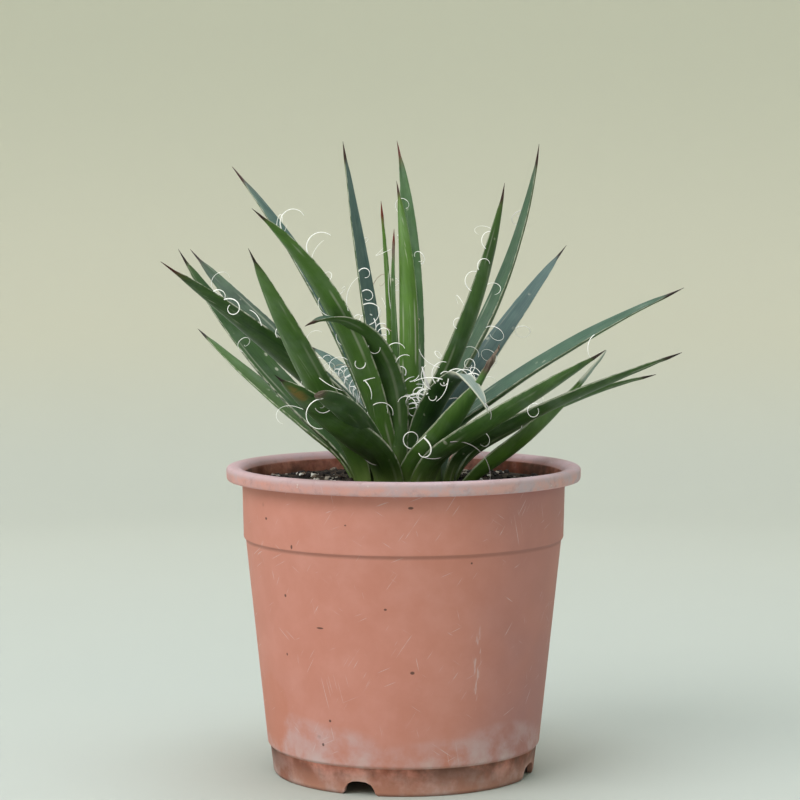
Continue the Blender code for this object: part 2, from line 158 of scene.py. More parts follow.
Feed = Union[Wire, bpy.types.NodeSocket, float, tuple, Colour]


class Bench:
    """Workbench for one finish: makes its nodes, links them and holds its shader."""

    def __init__(self, name: str) -> None:
        """Start an empty finish with a Principled shader."""
        self.material = bpy.data.materials.new(name)
        self.material.use_nodes = True
        self.tree = self.material.node_tree
        self.tree.nodes.clear()
        self.shader = self.tree.nodes.new("ShaderNodeBsdfPrincipled")
        end = self.tree.nodes.new("ShaderNodeOutputMaterial")
        self.tree.links.new(self.shader.outputs[0], end.inputs["Surface"])

    def feed(self, socket: bpy.types.NodeSocket, value: Feed) -> None:
        """Link a value to a socket, or set it there when it is a constant."""
        if isinstance(value, Wire):
            self.tree.links.new(value.socket, socket)
        elif isinstance(value, bpy.types.NodeSocket):
            self.tree.links.new(value, socket)
        else:
            socket.default_value = value

    def node(self, kind: str, settings: Optional[dict[str, Any]] = None,
             feeds: Optional[dict[Union[str, int], Feed]] = None) -> bpy.types.Node:
        """Make a node.

        Args:
            kind: Node type.
            settings: Properties, set first; "stops" holds a ramp's places and colours.
            feeds: Socket names or numbers with their values or links.

        Returns:
            The new node.
        """
        made = self.tree.nodes.new(kind)
        for key, value in (settings or {}).items():
            if key == "stops":
                stops = made.color_ramp.elements
                while len(stops) < len(value):
                    stops.new(1.0)
                for stop, (place, colour) in zip(stops, value):
                    stop.position, stop.color = place, colour
            else:
                setattr(made, key, value)
        for key, value in (feeds or {}).items():
            self.feed(made.inputs[key], value)
        return made

    def math(self, operation: str, *values: Feed) -> Wire:
        """One Math node on up to three values."""
        made = self.node("ShaderNodeMath", {"operation": operation}, dict(enumerate(values)))
        return Wire(self, made.outputs[0])

    def step(self, value: Feed, low: float, high: float) -> Wire:
        """Soft step of a value between two levels."""
        ends = (low, high, 0.0, 1.0) if low < high else (high, low, 1.0, 0.0)
        made = self.node("ShaderNodeMapRange", {"interpolation_type": "SMOOTHSTEP"},
                         {0: value, 1: ends[0], 2: ends[1], 3: ends[2], 4: ends[3]})
        return Wire(self, made.outputs[0])

    def attribute(self, name: str) -> Wire:
        """A number stored on the mesh."""
        made = self.node("ShaderNodeAttribute", {"attribute_name": name})
        return Wire(self, made.outputs["Fac"])

    def place(self, name: str = "") -> bpy.types.NodeSocket:
        """Object coordinates, or a vector stored on the mesh when one is named."""
        if name:
            made = self.node("ShaderNodeAttribute", {"attribute_name": name})
            return made.outputs["Vector"]
        return self.node("ShaderNodeTexCoord").outputs["Object"]

    def split(self, vector: Feed) -> tuple[Wire, Wire, Wire]:
        """The three parts of a vector."""
        made = self.node("ShaderNodeSeparateXYZ", {}, {0: vector})
        return tuple(Wire(self, made.outputs[part]) for part in range(3))

    def scaled(self, vector: Feed, factors: tuple[float, float, float]) -> bpy.types.NodeSocket:
        """A vector with each part multiplied by its own factor."""
        made = self.node("ShaderNodeVectorMath", {"operation": "MULTIPLY"},
                         {0: vector, 1: factors})
        return made.outputs[0]

    def noise(self, where: Feed, scale: float, detail: float = 3.0,
              rough: float = 0.55) -> Wire:
        """Cloudy noise around 0.5 at a number of cells per metre."""
        made = self.node("ShaderNodeTexNoise", {"noise_dimensions": "3D"},
                         {"Vector": where, "Scale": scale, "Detail": detail,
                          "Roughness": rough})
        return Wire(self, made.outputs[0])

    def cells(self, where: Feed, scale: float) -> Wire:
        """Distance to the nearest of scattered points."""
        made = self.node("ShaderNodeTexVoronoi", {"feature": "F1"},
                         {"Vector": where, "Scale": scale})
        return Wire(self, made.outputs["Distance"])

    def mix(self, factor: Feed, first: Feed, second: Feed) -> bpy.types.NodeSocket:
        """Blend of two colours."""
        made = self.node("ShaderNodeMix", {"data_type": "RGBA", "clamp_factor": True},
                         {0: factor, 6: first, 7: second})
        return made.outputs[2]

    def ramp(self, value: Feed, stops: Sequence[tuple[float, Colour]]) -> bpy.types.NodeSocket:
        """Colour read from a ramp."""
        made = self.node("ShaderNodeValToRGB", {"stops": stops}, {0: value})
        return made.outputs[0]

    def bump(self, height: Feed, depth: float, strength: float) -> bpy.types.NodeSocket:
        """Relief of a height field whose unit is a depth in metres."""
        made = self.node("ShaderNodeBump", {}, {"Height": height, "Distance": depth,
                                                "Strength": strength})
        return made.outputs[0]

    def finish(self, **feeds: Feed) -> bpy.types.Material:
        """Feed the shader's sockets, named with underscores, and hand over the material."""
        for key, value in feeds.items():
            self.feed(self.shader.inputs[key.replace("_", " ")], value)
        return self.material


@dataclass(frozen=True)
class LeafSkin:
    """Waxy leaf skin: green below, blue-grey above, white margins and a dark spine."""

    name: str = "leaf_skin"
    deep: Colour = srgb(28, 56, 16)
    bright: Colour = srgb(98, 140, 52)
    glaucous: Colour = srgb(96, 124, 118)
    glaucous_dark: Colour = srgb(42, 70, 72)
    pale_base: Colour = srgb(150, 165, 96)
    margin: Colour = srgb(214, 214, 198)
    bark: Colour = srgb(78, 62, 54)
    straw: Colour = srgb(146, 132, 120)
    spine: Colour = srgb(36, 20, 17)
    spine_red: Colour = srgb(104, 34, 24)
    ghost: Colour = srgb(158, 172, 168)
    rust: Colour = srgb(138, 102, 44)

    def make(self) -> bpy.types.Material:
        """Build the node material from the masks stored on each leaf."""
        b = Bench(self.name)
        grain = b.place("skin")
        along, across, upper = (b.attribute(word) for word in ("along", "across", "upper"))
        tone, blue, dry = (b.attribute(word) for word in ("tone", "blue", "dry"))
        side = abs(across)
        cloud = b.noise(b.scaled(grain, (0.35, 1.0, 1.0)), 260.0, 3.0)
        lines = b.noise(b.scaled(grain, (0.035, 1.0, 1.0)), 2300.0, 3.0, 0.6)
        fine = b.noise(b.scaled(grain, (0.3, 1.0, 1.0)), 3600.0, 2.0)
        green = b.mix((tone + (cloud - 0.5) * 0.5 + (lines - 0.5) * 0.35), self.deep, self.bright)
        grey = b.mix((lines * 0.9 + cloud * 0.5 - 0.25), self.glaucous_dark, self.glaucous)
        colour = b.mix(upper.rise(0.35, 0.75) * blue, green, grey)
        colour = b.mix((1 - upper) * blue * 0.1, colour, grey)
        film = b.noise(grain, 120.0, 4.0, 0.6).rise(0.42, 0.78) * 0.1
        colour = b.mix(film, colour, self.ghost)
        base = along.rise(0.16, 0.0) * (0.55 + (cloud - 0.5))
        colour = b.mix(base * 0.6, colour, self.pale_base)
        imprint = (side.rise(0.5, 0.6) * side.rise(0.74, 0.63)
                   * b.noise(b.scaled(grain, (0.1, 0.25, 1.0)), 420.0, 2.0).rise(0.5, 0.62)
                   * b.attribute("print"))
        keel = (side.rise(0.2, 0.04) * lines.rise(0.5, 0.62)
                * b.noise(b.scaled(grain, (0.12, 0.3, 1.0)), 330.0, 2.0).rise(0.52, 0.66)
                * b.attribute("print"))
        colour = b.mix((imprint + keel) * 0.5, colour, self.margin)
        fleck = b.cells(b.scaled(grain, (0.8, 1.0, 1.0)), 210.0).rise(0.17, 0.09)
        fleck = fleck * b.noise(grain, 90.0, 2.0).rise(0.52, 0.6)
        colour = b.mix(fleck * 0.55, colour, self.margin)
        horn = side.rise(0.93, 0.985) * b.noise(grain, 330.0, 3.0).rise(0.36, 0.6)
        horn = horn * along.rise(0.03, 0.14) * along.rise(0.965, 0.93)
        colour = b.mix(horn * 0.7, colour, self.margin)
        rust = b.attribute("rust") * b.noise(grain, 420.0, 3.0).rise(0.3, 0.55)
        colour = b.mix(rust * 0.55, colour, self.rust)
        crisp = b.mix(lines.rise(0.35, 0.65), self.bark, self.straw)
        crisp = b.mix(fine.rise(0.6, 0.75) * 0.6, crisp, self.spine)
        colour = b.mix((dry * 1.35 + (cloud - 0.5) * 0.9 * dry.rise(0.0, 0.25)), colour, crisp)
        ghost = b.attribute("ghost")
        colour = b.mix(ghost * (0.75 + (lines - 0.5)), colour, self.ghost)
        colour = b.mix(ghost * side.rise(0.6, 0.92) * 0.8, colour, self.margin)
        red = b.attribute("red")
        thorn = b.mix(red, self.spine, self.spine_red)
        blush = along.rise(0.88, 0.96) * (1 - dry) * (0.12 + red * 0.7)
        colour = b.mix(blush * 0.8, colour, self.spine_red)
        colour = b.mix(b.attribute("thorn"), colour, thorn)
        rough = 0.4 + (cloud - 0.5) * 0.25 + (lines - 0.5) * 0.15 + dry * 0.35 + film
        relief = lines * 0.6 + fine * 0.25 + cloud * 0.6
        normal = b.bump(relief, 0.22 * MM, 0.5)
        return b.finish(Base_Color=colour, Roughness=rough, Normal=normal,
                        Specular_IOR_Level=0.32)


@dataclass(frozen=True)
class Fibre:
    """Dry white fibre that peels from the leaf margins."""

    name: str = "leaf_fibre"
    white: Colour = srgb(252, 252, 250)
    tan: Colour = srgb(176, 156, 126)
    lilac: Colour = srgb(166, 160, 164)
    # painted glow: strength of a faint emission in the fibre's own colour, standing in for light
    # scattered through the thin fibres
    painted_glow: float = 0.16

    def make(self) -> bpy.types.Material:
        """Build the node material; age runs from fresh white to tan and lilac, and a faint painted
        glow brightens every fibre.
        """
        b = Bench(self.name)
        age = b.attribute("age")
        grain = b.noise(b.place(), 900.0, 2.0)
        colour = b.mix(age.rise(0.3, 0.7), self.white, self.lilac)
        colour = b.mix(age.rise(0.72, 1.0), colour, self.tan)
        colour = b.mix(grain.rise(0.6, 0.85) * 0.2, colour, self.tan)
        # painted glow: the fibres give off a faint light of their own colour
        return b.finish(Base_Color=colour, Roughness=0.55 + grain * 0.2,
                        Emission_Color=colour, Emission_Strength=self.painted_glow,
                        Normal=b.bump(grain, 0.03 * MM, 0.4))


@dataclass(frozen=True)
class Stain:
    """Ragged oval on the pot's wall.

    azimuth and wide, its half width, are in degrees; level and tall, its half height,
    are shares of the pot's height.
    """

    azimuth: float
    level: float
    wide: float
    tall: float


@dataclass(frozen=True)
class PotPlastic:
    """Sun-faded terracotta-coloured plastic under dust, lime and small scars, with painted shade
    on its right side and a painted shadow under the step below the lip.
    """

    name: str = "pot_plastic_worn"
    salmon: Colour = srgb(203, 139, 126)
    russet: Colour = srgb(196, 130, 115)
    faded: Colour = srgb(208, 164, 160)
    rim_dust: Colour = srgb(190, 170, 178)
    rim_grime: Colour = srgb(150, 120, 120)
    lime: Colour = srgb(210, 194, 194)
    lilac: Colour = srgb(198, 176, 182)
    # darker mauve tint painted as shade over the right side
    painted_shade_mauve: Colour = srgb(156, 116, 120)
    # dark colour of the shadow painted under the step
    ledge_shadow_colour: Colour = srgb(128, 84, 72)
    orange: Colour = srgb(190, 112, 80)
    soot: Colour = srgb(58, 40, 34)
    inside: Colour = srgb(132, 72, 54)
    dark_umber: Colour = srgb(82, 62, 54)
    foot_tan: Colour = srgb(164, 120, 98)
    sun_patch: Stain = Stain(-66.0, 0.22, 14.0, 0.13)
    left_bloom: Stain = Stain(-44.0, 0.14, 34.0, 0.1)
    right_bloom: Stain = Stain(44.0, 0.14, 30.0, 0.09)
    veil: Stain = Stain(25.0, 0.12, 40.0, 0.07)
    streak: Stain = Stain(28.5, 0.42, 1.6, 0.14)
    back_drip: Stain = Stain(-150.0, 0.45, 16.0, 0.3)
    # azimuth, level as a share of the height, half width in degrees, half height in mm
    scars: tuple[tuple[float, float, float, float], ...] = (
        (2.3, 0.917, 1.0, 0.5), (-56.0, 0.858, 0.7, 0.5), (-42.0, 0.78, 0.5, 0.8),
        (-48.0, 0.62, 0.6, 0.6), (-32.0, 0.53, 1.6, 0.35), (-6.5, 0.6, 0.6, 0.4),
        (3.2, 0.4, 0.9, 0.6), (-50.0, 0.43, 0.5, 0.5), (-30.0, 0.235, 0.6, 0.5),
        (-34.0, 0.155, 0.6, 0.6), (24.0, 0.74, 0.4, 0.4), (-20.0, 0.86, 0.4, 0.3))

    def make(self, height: float, lip: float, ledge: float, foot: float) -> bpy.types.Material:
        """Build the node material.

        Args:
            height: Height of the pot.
            lip: Drop of the lip's skirt.
            ledge: Height of the small step below the lip.
            foot: Height of the foot band.

        Returns:
            The finished material.
        """
        b = Bench(self.name)
        here = b.place()
        turn, up, _ = b.split(b.place("unrolled"))
        within = b.attribute("within")
        broad = b.noise(here, 22.0, 3.0)
        mottle = b.noise(here, 95.0, 4.0, 0.6)
        grain = b.noise(here, 900.0, 2.0)
        colour = b.mix(mottle.rise(0.25, 0.8), self.russet, self.salmon)
        film = broad * 0.8 + mottle * 0.45 - 0.25 + up.rise(0.4 * height, 0.0) * 0.2
        colour = b.mix(film.rise(0.3, 0.9) * 0.24, colour, self.faded)
        # painted shade: a darker mauve tint over the right side, away from the key light
        shade = turn.rise(14.0, 52.0) * turn.rise(120.0, 80.0)
        colour = b.mix(shade * (0.45 + (broad - 0.5)), colour, self.painted_shade_mauve)
        scratch = self.scratches(b)
        colour = b.mix(scratch * 0.55, colour, self.lime)
        # painted shadow: a dark line just under the small step below the lip
        ledge_shadow = up.rise(ledge - 1.6 * MM, ledge - 0.6 * MM) * up.rise(ledge + 0.4 * MM, ledge)
        colour = b.mix(ledge_shadow * 0.4, colour, self.ledge_shadow_colour)

        left = self.patch(turn, up, height, self.sun_patch, mottle)
        colour = b.mix(left * 0.25, colour, self.orange)
        halo = self.patch(turn, up, height, self.left_bloom, broad)
        colour = b.mix(halo * (1 - left) * mottle.rise(0.25, 0.75) * 0.55, colour, self.lilac)
        bloom = self.patch(turn, up, height, self.right_bloom, broad)
        colour = b.mix(bloom * mottle.rise(0.3, 0.75) * 0.5, colour, self.lilac)
        veil = self.patch(turn, up, height, self.veil, broad)
        colour = b.mix(veil * mottle.rise(0.3, 0.8) * 0.3, colour, self.lilac)
        tide = up.rise(0.22 * height, 0.08 * height) * broad.rise(0.35, 0.6)
        colour = b.mix(tide * mottle.rise(0.3, 0.75) * 0.45, colour, self.lilac)
        streak = self.patch(turn, up, height, self.streak, mottle)
        hairs = b.noise(b.scaled(here, (1.0, 1.0, 0.16)), 1300.0, 2.0).rise(0.5, 0.68)
        colour = b.mix(streak * hairs * 0.5, colour, self.lime)
        drip = self.patch(turn, up, height, self.back_drip, mottle)
        colour = b.mix(drip * mottle.rise(0.4, 0.66) * 0.5, colour, self.lime)

        lime_line = up.rise(foot + 7 * MM, foot) * up.rise(foot - 1 * MM, foot + 0.5 * MM)
        colour = b.mix(lime_line * mottle.rise(0.35, 0.75) * 0.35, colour, self.lime)
        band = up.rise(foot + 0.6 * MM, foot - 0.4 * MM)
        colour = b.mix(band * 0.55, colour, self.foot_tan)
        colour = b.mix(band * turn.rise(-54.5, -57.0) * 0.55, colour, self.inside)
        colour = b.mix(band * mottle.rise(0.42, 0.7) * 0.45, colour, self.lime)
        # darker along the very bottom edge of the foot
        colour = b.mix(up.rise(1.6 * MM, 0.0) * 0.5, colour, self.dark_umber)

        collar = up.rise(height - lip - 0.6 * MM, height - lip + 0.2 * MM)
        dust = b.mix(b.noise(here, 160.0, 5.0, 0.65).rise(0.36, 0.62), self.faded, self.rim_dust)
        front_right = turn.rise(-25.0, 20.0) * turn.rise(110.0, 60.0)
        colour = b.mix(collar * (0.5 + (broad - 0.5) + front_right * 0.5), colour, dust)
        crest = up.rise(height - 2.6 * MM, height - 0.8 * MM)
        colour = b.mix(crest * 0.7, colour, self.rim_dust)
        grime = b.noise(here, 260.0, 5.0, 0.7).rise(0.5, 0.74)
        colour = b.mix(grime * collar * 0.4, colour, self.rim_grime)
        speck = b.cells(here, 340.0).rise(0.16, 0.08) * b.noise(here, 150.0, 2.0).rise(0.5, 0.6)
        colour = b.mix(speck * collar * 0.8, colour, self.lime)

        marks = self.marks(turn, up, height)
        chip = b.cells(here, 62.0).rise(0.085, 0.05) * b.noise(here, 30.0).rise(0.52, 0.6)
        colour = b.mix((marks + chip) * 0.8, colour, self.soot)

        wall = b.mix(mottle.rise(0.35, 0.65), self.inside, self.russet)
        muddy = b.noise(here, 60.0, 5.0, 0.65).rise(0.42, 0.62)
        wall = b.mix(muddy * 0.75, wall, self.dark_umber)
        # darker over the inside of the left wall
        wall = b.mix(turn.rise(-40.0, -70.0) * turn.rise(-125.0, -95.0) * 0.7, wall,
                     self.dark_umber)
        colour = b.mix(within * (1 - crest), colour, wall)

        rough = 0.62 + (mottle - 0.5) * 0.3 + collar * 0.12 + film * 0.1
        relief = grain * 0.35 + mottle * 0.8 + scratch * -0.4
        return b.finish(Base_Color=colour, Roughness=rough,
                        Normal=b.bump(relief, 0.12 * MM, 0.45), Specular_IOR_Level=0.35)

    def scratches(self, b: Bench) -> Wire:
        """Fine pale scratches in two slanting directions."""
        total: Feed = 0.0
        for angle, seed in ((0.5, 3.0), (-0.9, 8.0), (1.3, 14.0), (-0.35, 21.0), (2.2, 33.0)):
            turned = b.node("ShaderNodeMapping", {},
                            {0: b.place("unrolled_flat"), 1: (seed, seed, 0.0),
                             2: (0.0, 0.0, angle)}).outputs[0]
            stretched = b.scaled(turned, (60.0, 1500.0, 1.0))
            hair = b.noise(stretched, 1.0, 1.0).rise(0.71, 0.75)
            gate = b.noise(b.place(), 60.0 + seed, 2.0).rise(0.5, 0.6)
            total = hair * gate + total
        return total

    def patch(self, turn: Wire, up: Wire, height: float, stain: Stain, ragged: Wire) -> Wire:
        """Mask of a stain, with its edge broken up by a noise."""
        reach = (((turn - stain.azimuth) / stain.wide) ** 2.0
                 + ((up - stain.level * height) / (stain.tall * height)) ** 2.0
                 + (ragged - 0.5) * 1.6)
        return reach.rise(1.15, 0.55)

    def marks(self, turn: Wire, up: Wire, height: float) -> Wire:
        """Mask of the small dark scars."""
        total: Feed = 0.0
        for azimuth, level, wide, tall in self.scars:
            reach = (((turn - azimuth) / wide) ** 2.0
                     + ((up - level * height) / (tall * MM)) ** 2.0)
            total = reach.rise(1.2, 0.4) + total
        return total


@dataclass(frozen=True)
class PottingMix:
    """Dark gritty compost between the stones."""

    name: str = "potting_mix_dark"
    peat: Colour = srgb(30, 24, 22)
    crumb: Colour = srgb(72, 58, 48)
    sand: Colour = srgb(150, 132, 108)

    def make(self) -> bpy.types.Material:
        """Build the node material."""
        b = Bench(self.name)
        here = b.place()
        lumps = b.cells(here, 620.0)
        dust = b.noise(here, 1400.0, 3.0, 0.7)
        colour = b.mix(b.noise(here, 420.0, 4.0, 0.7).rise(0.4, 0.65), self.peat, self.crumb)
        colour = b.mix(dust.rise(0.6, 0.72) * 0.7, colour, self.sand)
        return b.finish(Base_Color=colour, Roughness=0.85 + (dust - 0.5) * 0.2,
                        Normal=b.bump(lumps * -1.0 + dust * 0.5, 0.6 * MM, 0.9),
                        Specular_IOR_Level=0.25)


@dataclass(frozen=True)
class Grit:
    """Loose stones of the mix: black lava, brown bark, tan grit and white perlite."""

    name: str = "grit_stones"
    stops: tuple[tuple[float, Colour], ...] = (
        (0.0, srgb(24, 22, 24)), (0.3, srgb(44, 38, 38)), (0.5, srgb(84, 66, 54)),
        (0.68, srgb(138, 126, 114)), (0.84, srgb(186, 180, 172)), (1.0, srgb(232, 231, 226)))

    def make(self) -> bpy.types.Material:
        """Build the node material; each stone carries its own shade."""
        b = Bench(self.name)
        here = b.place()
        pits = b.noise(here, 1500.0, 3.0, 0.65)
        shade = b.attribute("shade") + (pits - 0.5) * 0.22
        return b.finish(Base_Color=b.ramp(shade, self.stops), Roughness=0.8 + (pits - 0.5) * 0.2,
                        Normal=b.bump(pits, 0.3 * MM, 0.7), Specular_IOR_Level=0.3)


@dataclass(frozen=True)
class CrownTissue:
    """Fibrous pale stem between the leaf bases."""

    name: str = "crown_tissue_fibrous"
    pale: Colour = srgb(168, 168, 112)
    brown: Colour = srgb(110, 82, 54)

    def make(self) -> bpy.types.Material:
        """Build the node material."""
        b = Bench(self.name)
        here = b.place()
        strands = b.noise(b.scaled(here, (1.0, 1.0, 0.12)), 1500.0, 3.0)
        stain = b.noise(here, 160.0, 3.0)
        colour = b.mix(strands * 0.6 + stain * 0.7 - 0.2, self.pale, self.brown)
        return b.finish(Base_Color=colour, Roughness=0.7 + (strands - 0.5) * 0.2,
                        Normal=b.bump(strands, 0.2 * MM, 0.6))


@dataclass(frozen=True)
class Sweep:
    """Matt cloth of the studio sweep, paler on the floor than on the wall."""

    name: str = "studio_cloth"
    near: Colour = srgb(190, 197, 193)
    far: Colour = srgb(206, 210, 203)
    bend: Colour = srgb(212, 211, 195)
    wall: Colour = srgb(202, 203, 186)

    def make(self) -> bpy.types.Material:
        """Build the node material."""
        b = Bench(self.name)
        here = b.place()
        across, away, up = b.split(here)
        folds = b.noise(here, 4.0, 2.0)
        weave = b.noise(here, 900.0, 2.0)
        reach = (across ** 2.0 + away ** 2.0) ** 0.5
        colour = b.mix(reach.rise(0.1, 0.78) + (folds - 0.5) * 0.2, self.near, self.far)
        colour = b.mix(up.rise(0.0, 0.12), colour, self.bend)
        colour = b.mix(up.rise(0.12, 0.38) + (folds - 0.5) * 0.1, colour, self.wall)
        return b.finish(Base_Color=colour, Roughness=0.9,
                        Normal=b.bump(folds * 6.0 + weave * 0.1, 1.0 * MM, 0.5),
                        Specular_IOR_Level=0.15)


# ---- meshes --------------------------------------------------------------------
def piece_from(name: str, points: np.ndarray, faces: Sequence[Sequence[int]],
               material: bpy.types.Material, numbers: Optional[dict[str, np.ndarray]] = None,
               vectors: Optional[dict[str, np.ndarray]] = None) -> bpy.types.Object:
    """Make a smooth mesh object with attributes on its points.

    Args:
        name: Name of the piece.
        points: One row per point.
        faces: Point numbers of each face.
        material: Finish of the whole piece.
        numbers: One value per point for each named attribute.
        vectors: One row of three per point for each named attribute.

    Returns:
        The linked object.
    """
    mesh = bpy.data.meshes.new(name)
    mesh.from_pydata([tuple(point) for point in points], [], [tuple(face) for face in faces])
    mesh.update()
    for word, values in (numbers or {}).items():
        mesh.attributes.new(word, "FLOAT", "POINT").data.foreach_set(
            "value", np.asarray(values, np.float32))
    for word, values in (vectors or {}).items():
        mesh.attributes.new(word, "FLOAT_VECTOR", "POINT").data.foreach_set(
            "vector", np.asarray(values, np.float32).ravel())
    mesh.shade_smooth()
    mesh.materials.append(material)
    item = bpy.data.objects.new(name, mesh)
    bpy.context.scene.collection.objects.link(item)
    return item


def settle(item: bpy.types.Object, slot: str, *nodes: str) -> bpy.types.Object:
    """Ride a piece on the plant, hide the CAD nodes that it stands for and log its slot."""
    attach(item, "root")
    if nodes:
        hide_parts(*nodes)
    LOG.info("%s: %d points, slot %s", item.name, len(item.data.vertices), slot)
    return item


def spun(profile: Sequence[tuple[float, float]],
         segments: int) -> tuple[np.ndarray, list[tuple[int, ...]]]:
    """Points and faces of a profile turned about the Z axis.

    Args:
        profile: Radius and height of each point; a zero radius is one shared point.
        segments: Steps of the turn.

    Returns:
        The points and the faces.
    """
    points: list[tuple[float, float, float]] = []
    rows: list[list[int]] = []
    for radius, height in profile:
        if radius < 1e-9:
            rows.append([len(points)] * segments)
            points.append((0.0, 0.0, height))
            continue
        rows.append(list(range(len(points), len(points) + segments)))
        for number in range(segments):
            angle = 2 * math.pi * number / segments
            points.append((radius * math.sin(angle), -radius * math.cos(angle), height))
    faces = []
    for low, high in zip(rows, rows[1:]):
        for number in range(segments):
            after = (number + 1) % segments
            corner = [low[number], low[after], high[after], high[number]]
            face = tuple(dict.fromkeys(corner))
            if len(face) > 2:
                faces.append(face)
    return np.array(points), faces


def rounded(profile: Sequence[tuple[float, float]], reach: float,
            steps: int = 2) -> list[tuple[float, float]]:
    """Round the corners of an open outline.

    Args:
        profile: Corner points.
        reach: Longest tangent on either side of a corner.
        steps: Parts of each rounded corner.

    Returns:
        The softened outline.
    """
    soft = [profile[0]]
    for before, here, after in zip(profile, profile[1:], profile[2:]):
        ends = []
        for other in (before, after):
            gap = math.hypot(other[0] - here[0], other[1] - here[1])
            share = min(reach, 0.42 * gap) / gap
            ends.append((here[0] + (other[0] - here[0]) * share,
                         here[1] + (other[1] - here[1]) * share))
        for number in range(steps + 1):
            s = number / steps
            soft.append(tuple(ends[0][axis] * (1 - s) ** 2 + 2 * here[axis] * s * (1 - s)
                              + ends[1][axis] * s ** 2 for axis in (0, 1)))
    return soft + [profile[-1]]


# ---- leaves --------------------------------------------------------------------
class Shape(Enum):
    """How a leaf narrows towards its tip."""

    PLAIN = ((0, 0.92), (0.12, 0.9), (0.28, 1.0), (0.42, 1.0), (0.6, 0.88), (0.78, 0.6),
             (0.9, 0.31), (0.945, 0.1))
    BLUNT = ((0, 0.92), (0.12, 0.92), (0.35, 1.0), (0.6, 0.95), (0.8, 0.8), (0.93, 0.55),
             (0.945, 0.5))
    WITHERED = ((0, 0.92), (0.12, 0.92), (0.3, 1.0), (0.5, 0.9), (0.66, 0.6), (0.74, 0.32),
                (0.9, 0.22), (0.945, 0.14))


@dataclass
class Look:
    """How one leaf departs from the common skin.

    tone runs from deep to bright green, blue is the bloom of the upper face, print the
    strength of the bud marks, dry the station where the tip has browned, red the spine's
    redness, rust an orange spot's station, ghost the station where a bleached tip starts.
    """

    tone: float = 0.4
    blue: float = 0.8
    print: float = 0.6
    dry: float = 2.0
    red: float = 0.0
    rust: float = -1.0
    ghost: float = 2.0


@dataclass
class Crown:
    """Seats of the leaf bases on the stem, placed from the frame's pot."""

    axis: Vector
    rim_height: float
    gap: float = 0.3 * MM
    core: float = 0.6 * MM
    step: float = 3.3 * MM
    drops: tuple[float, ...] = (0.0, 1.2 * MM, 2.8 * MM, 4.9 * MM, 7.2 * MM, 8.8 * MM)
    growing_point: float = 2.4 * MM

    def radius(self, terrace: int) -> float:
        """Middle radius of a terrace."""
        return self.core + self.step * (terrace + 0.5)

    def seat(self, terrace: int, azimuth: float) -> Vector:
        """Where the middle of a leaf base stands."""
        height = self.rim_height - self.growing_point - self.drops[terrace] + self.gap
        return self.axis + polar(self.radius(terrace), azimuth, height)


SPINE = 1.0 * MM
TURN = 0.3
SPINE_START = 0.945
THICKNESS = ((0, 0.8), (0.12, 0.95), (0.3, 1.0), (0.5, 0.82), (0.74, 0.55), (0.9, 0.3),
             (0.945, 0.1))


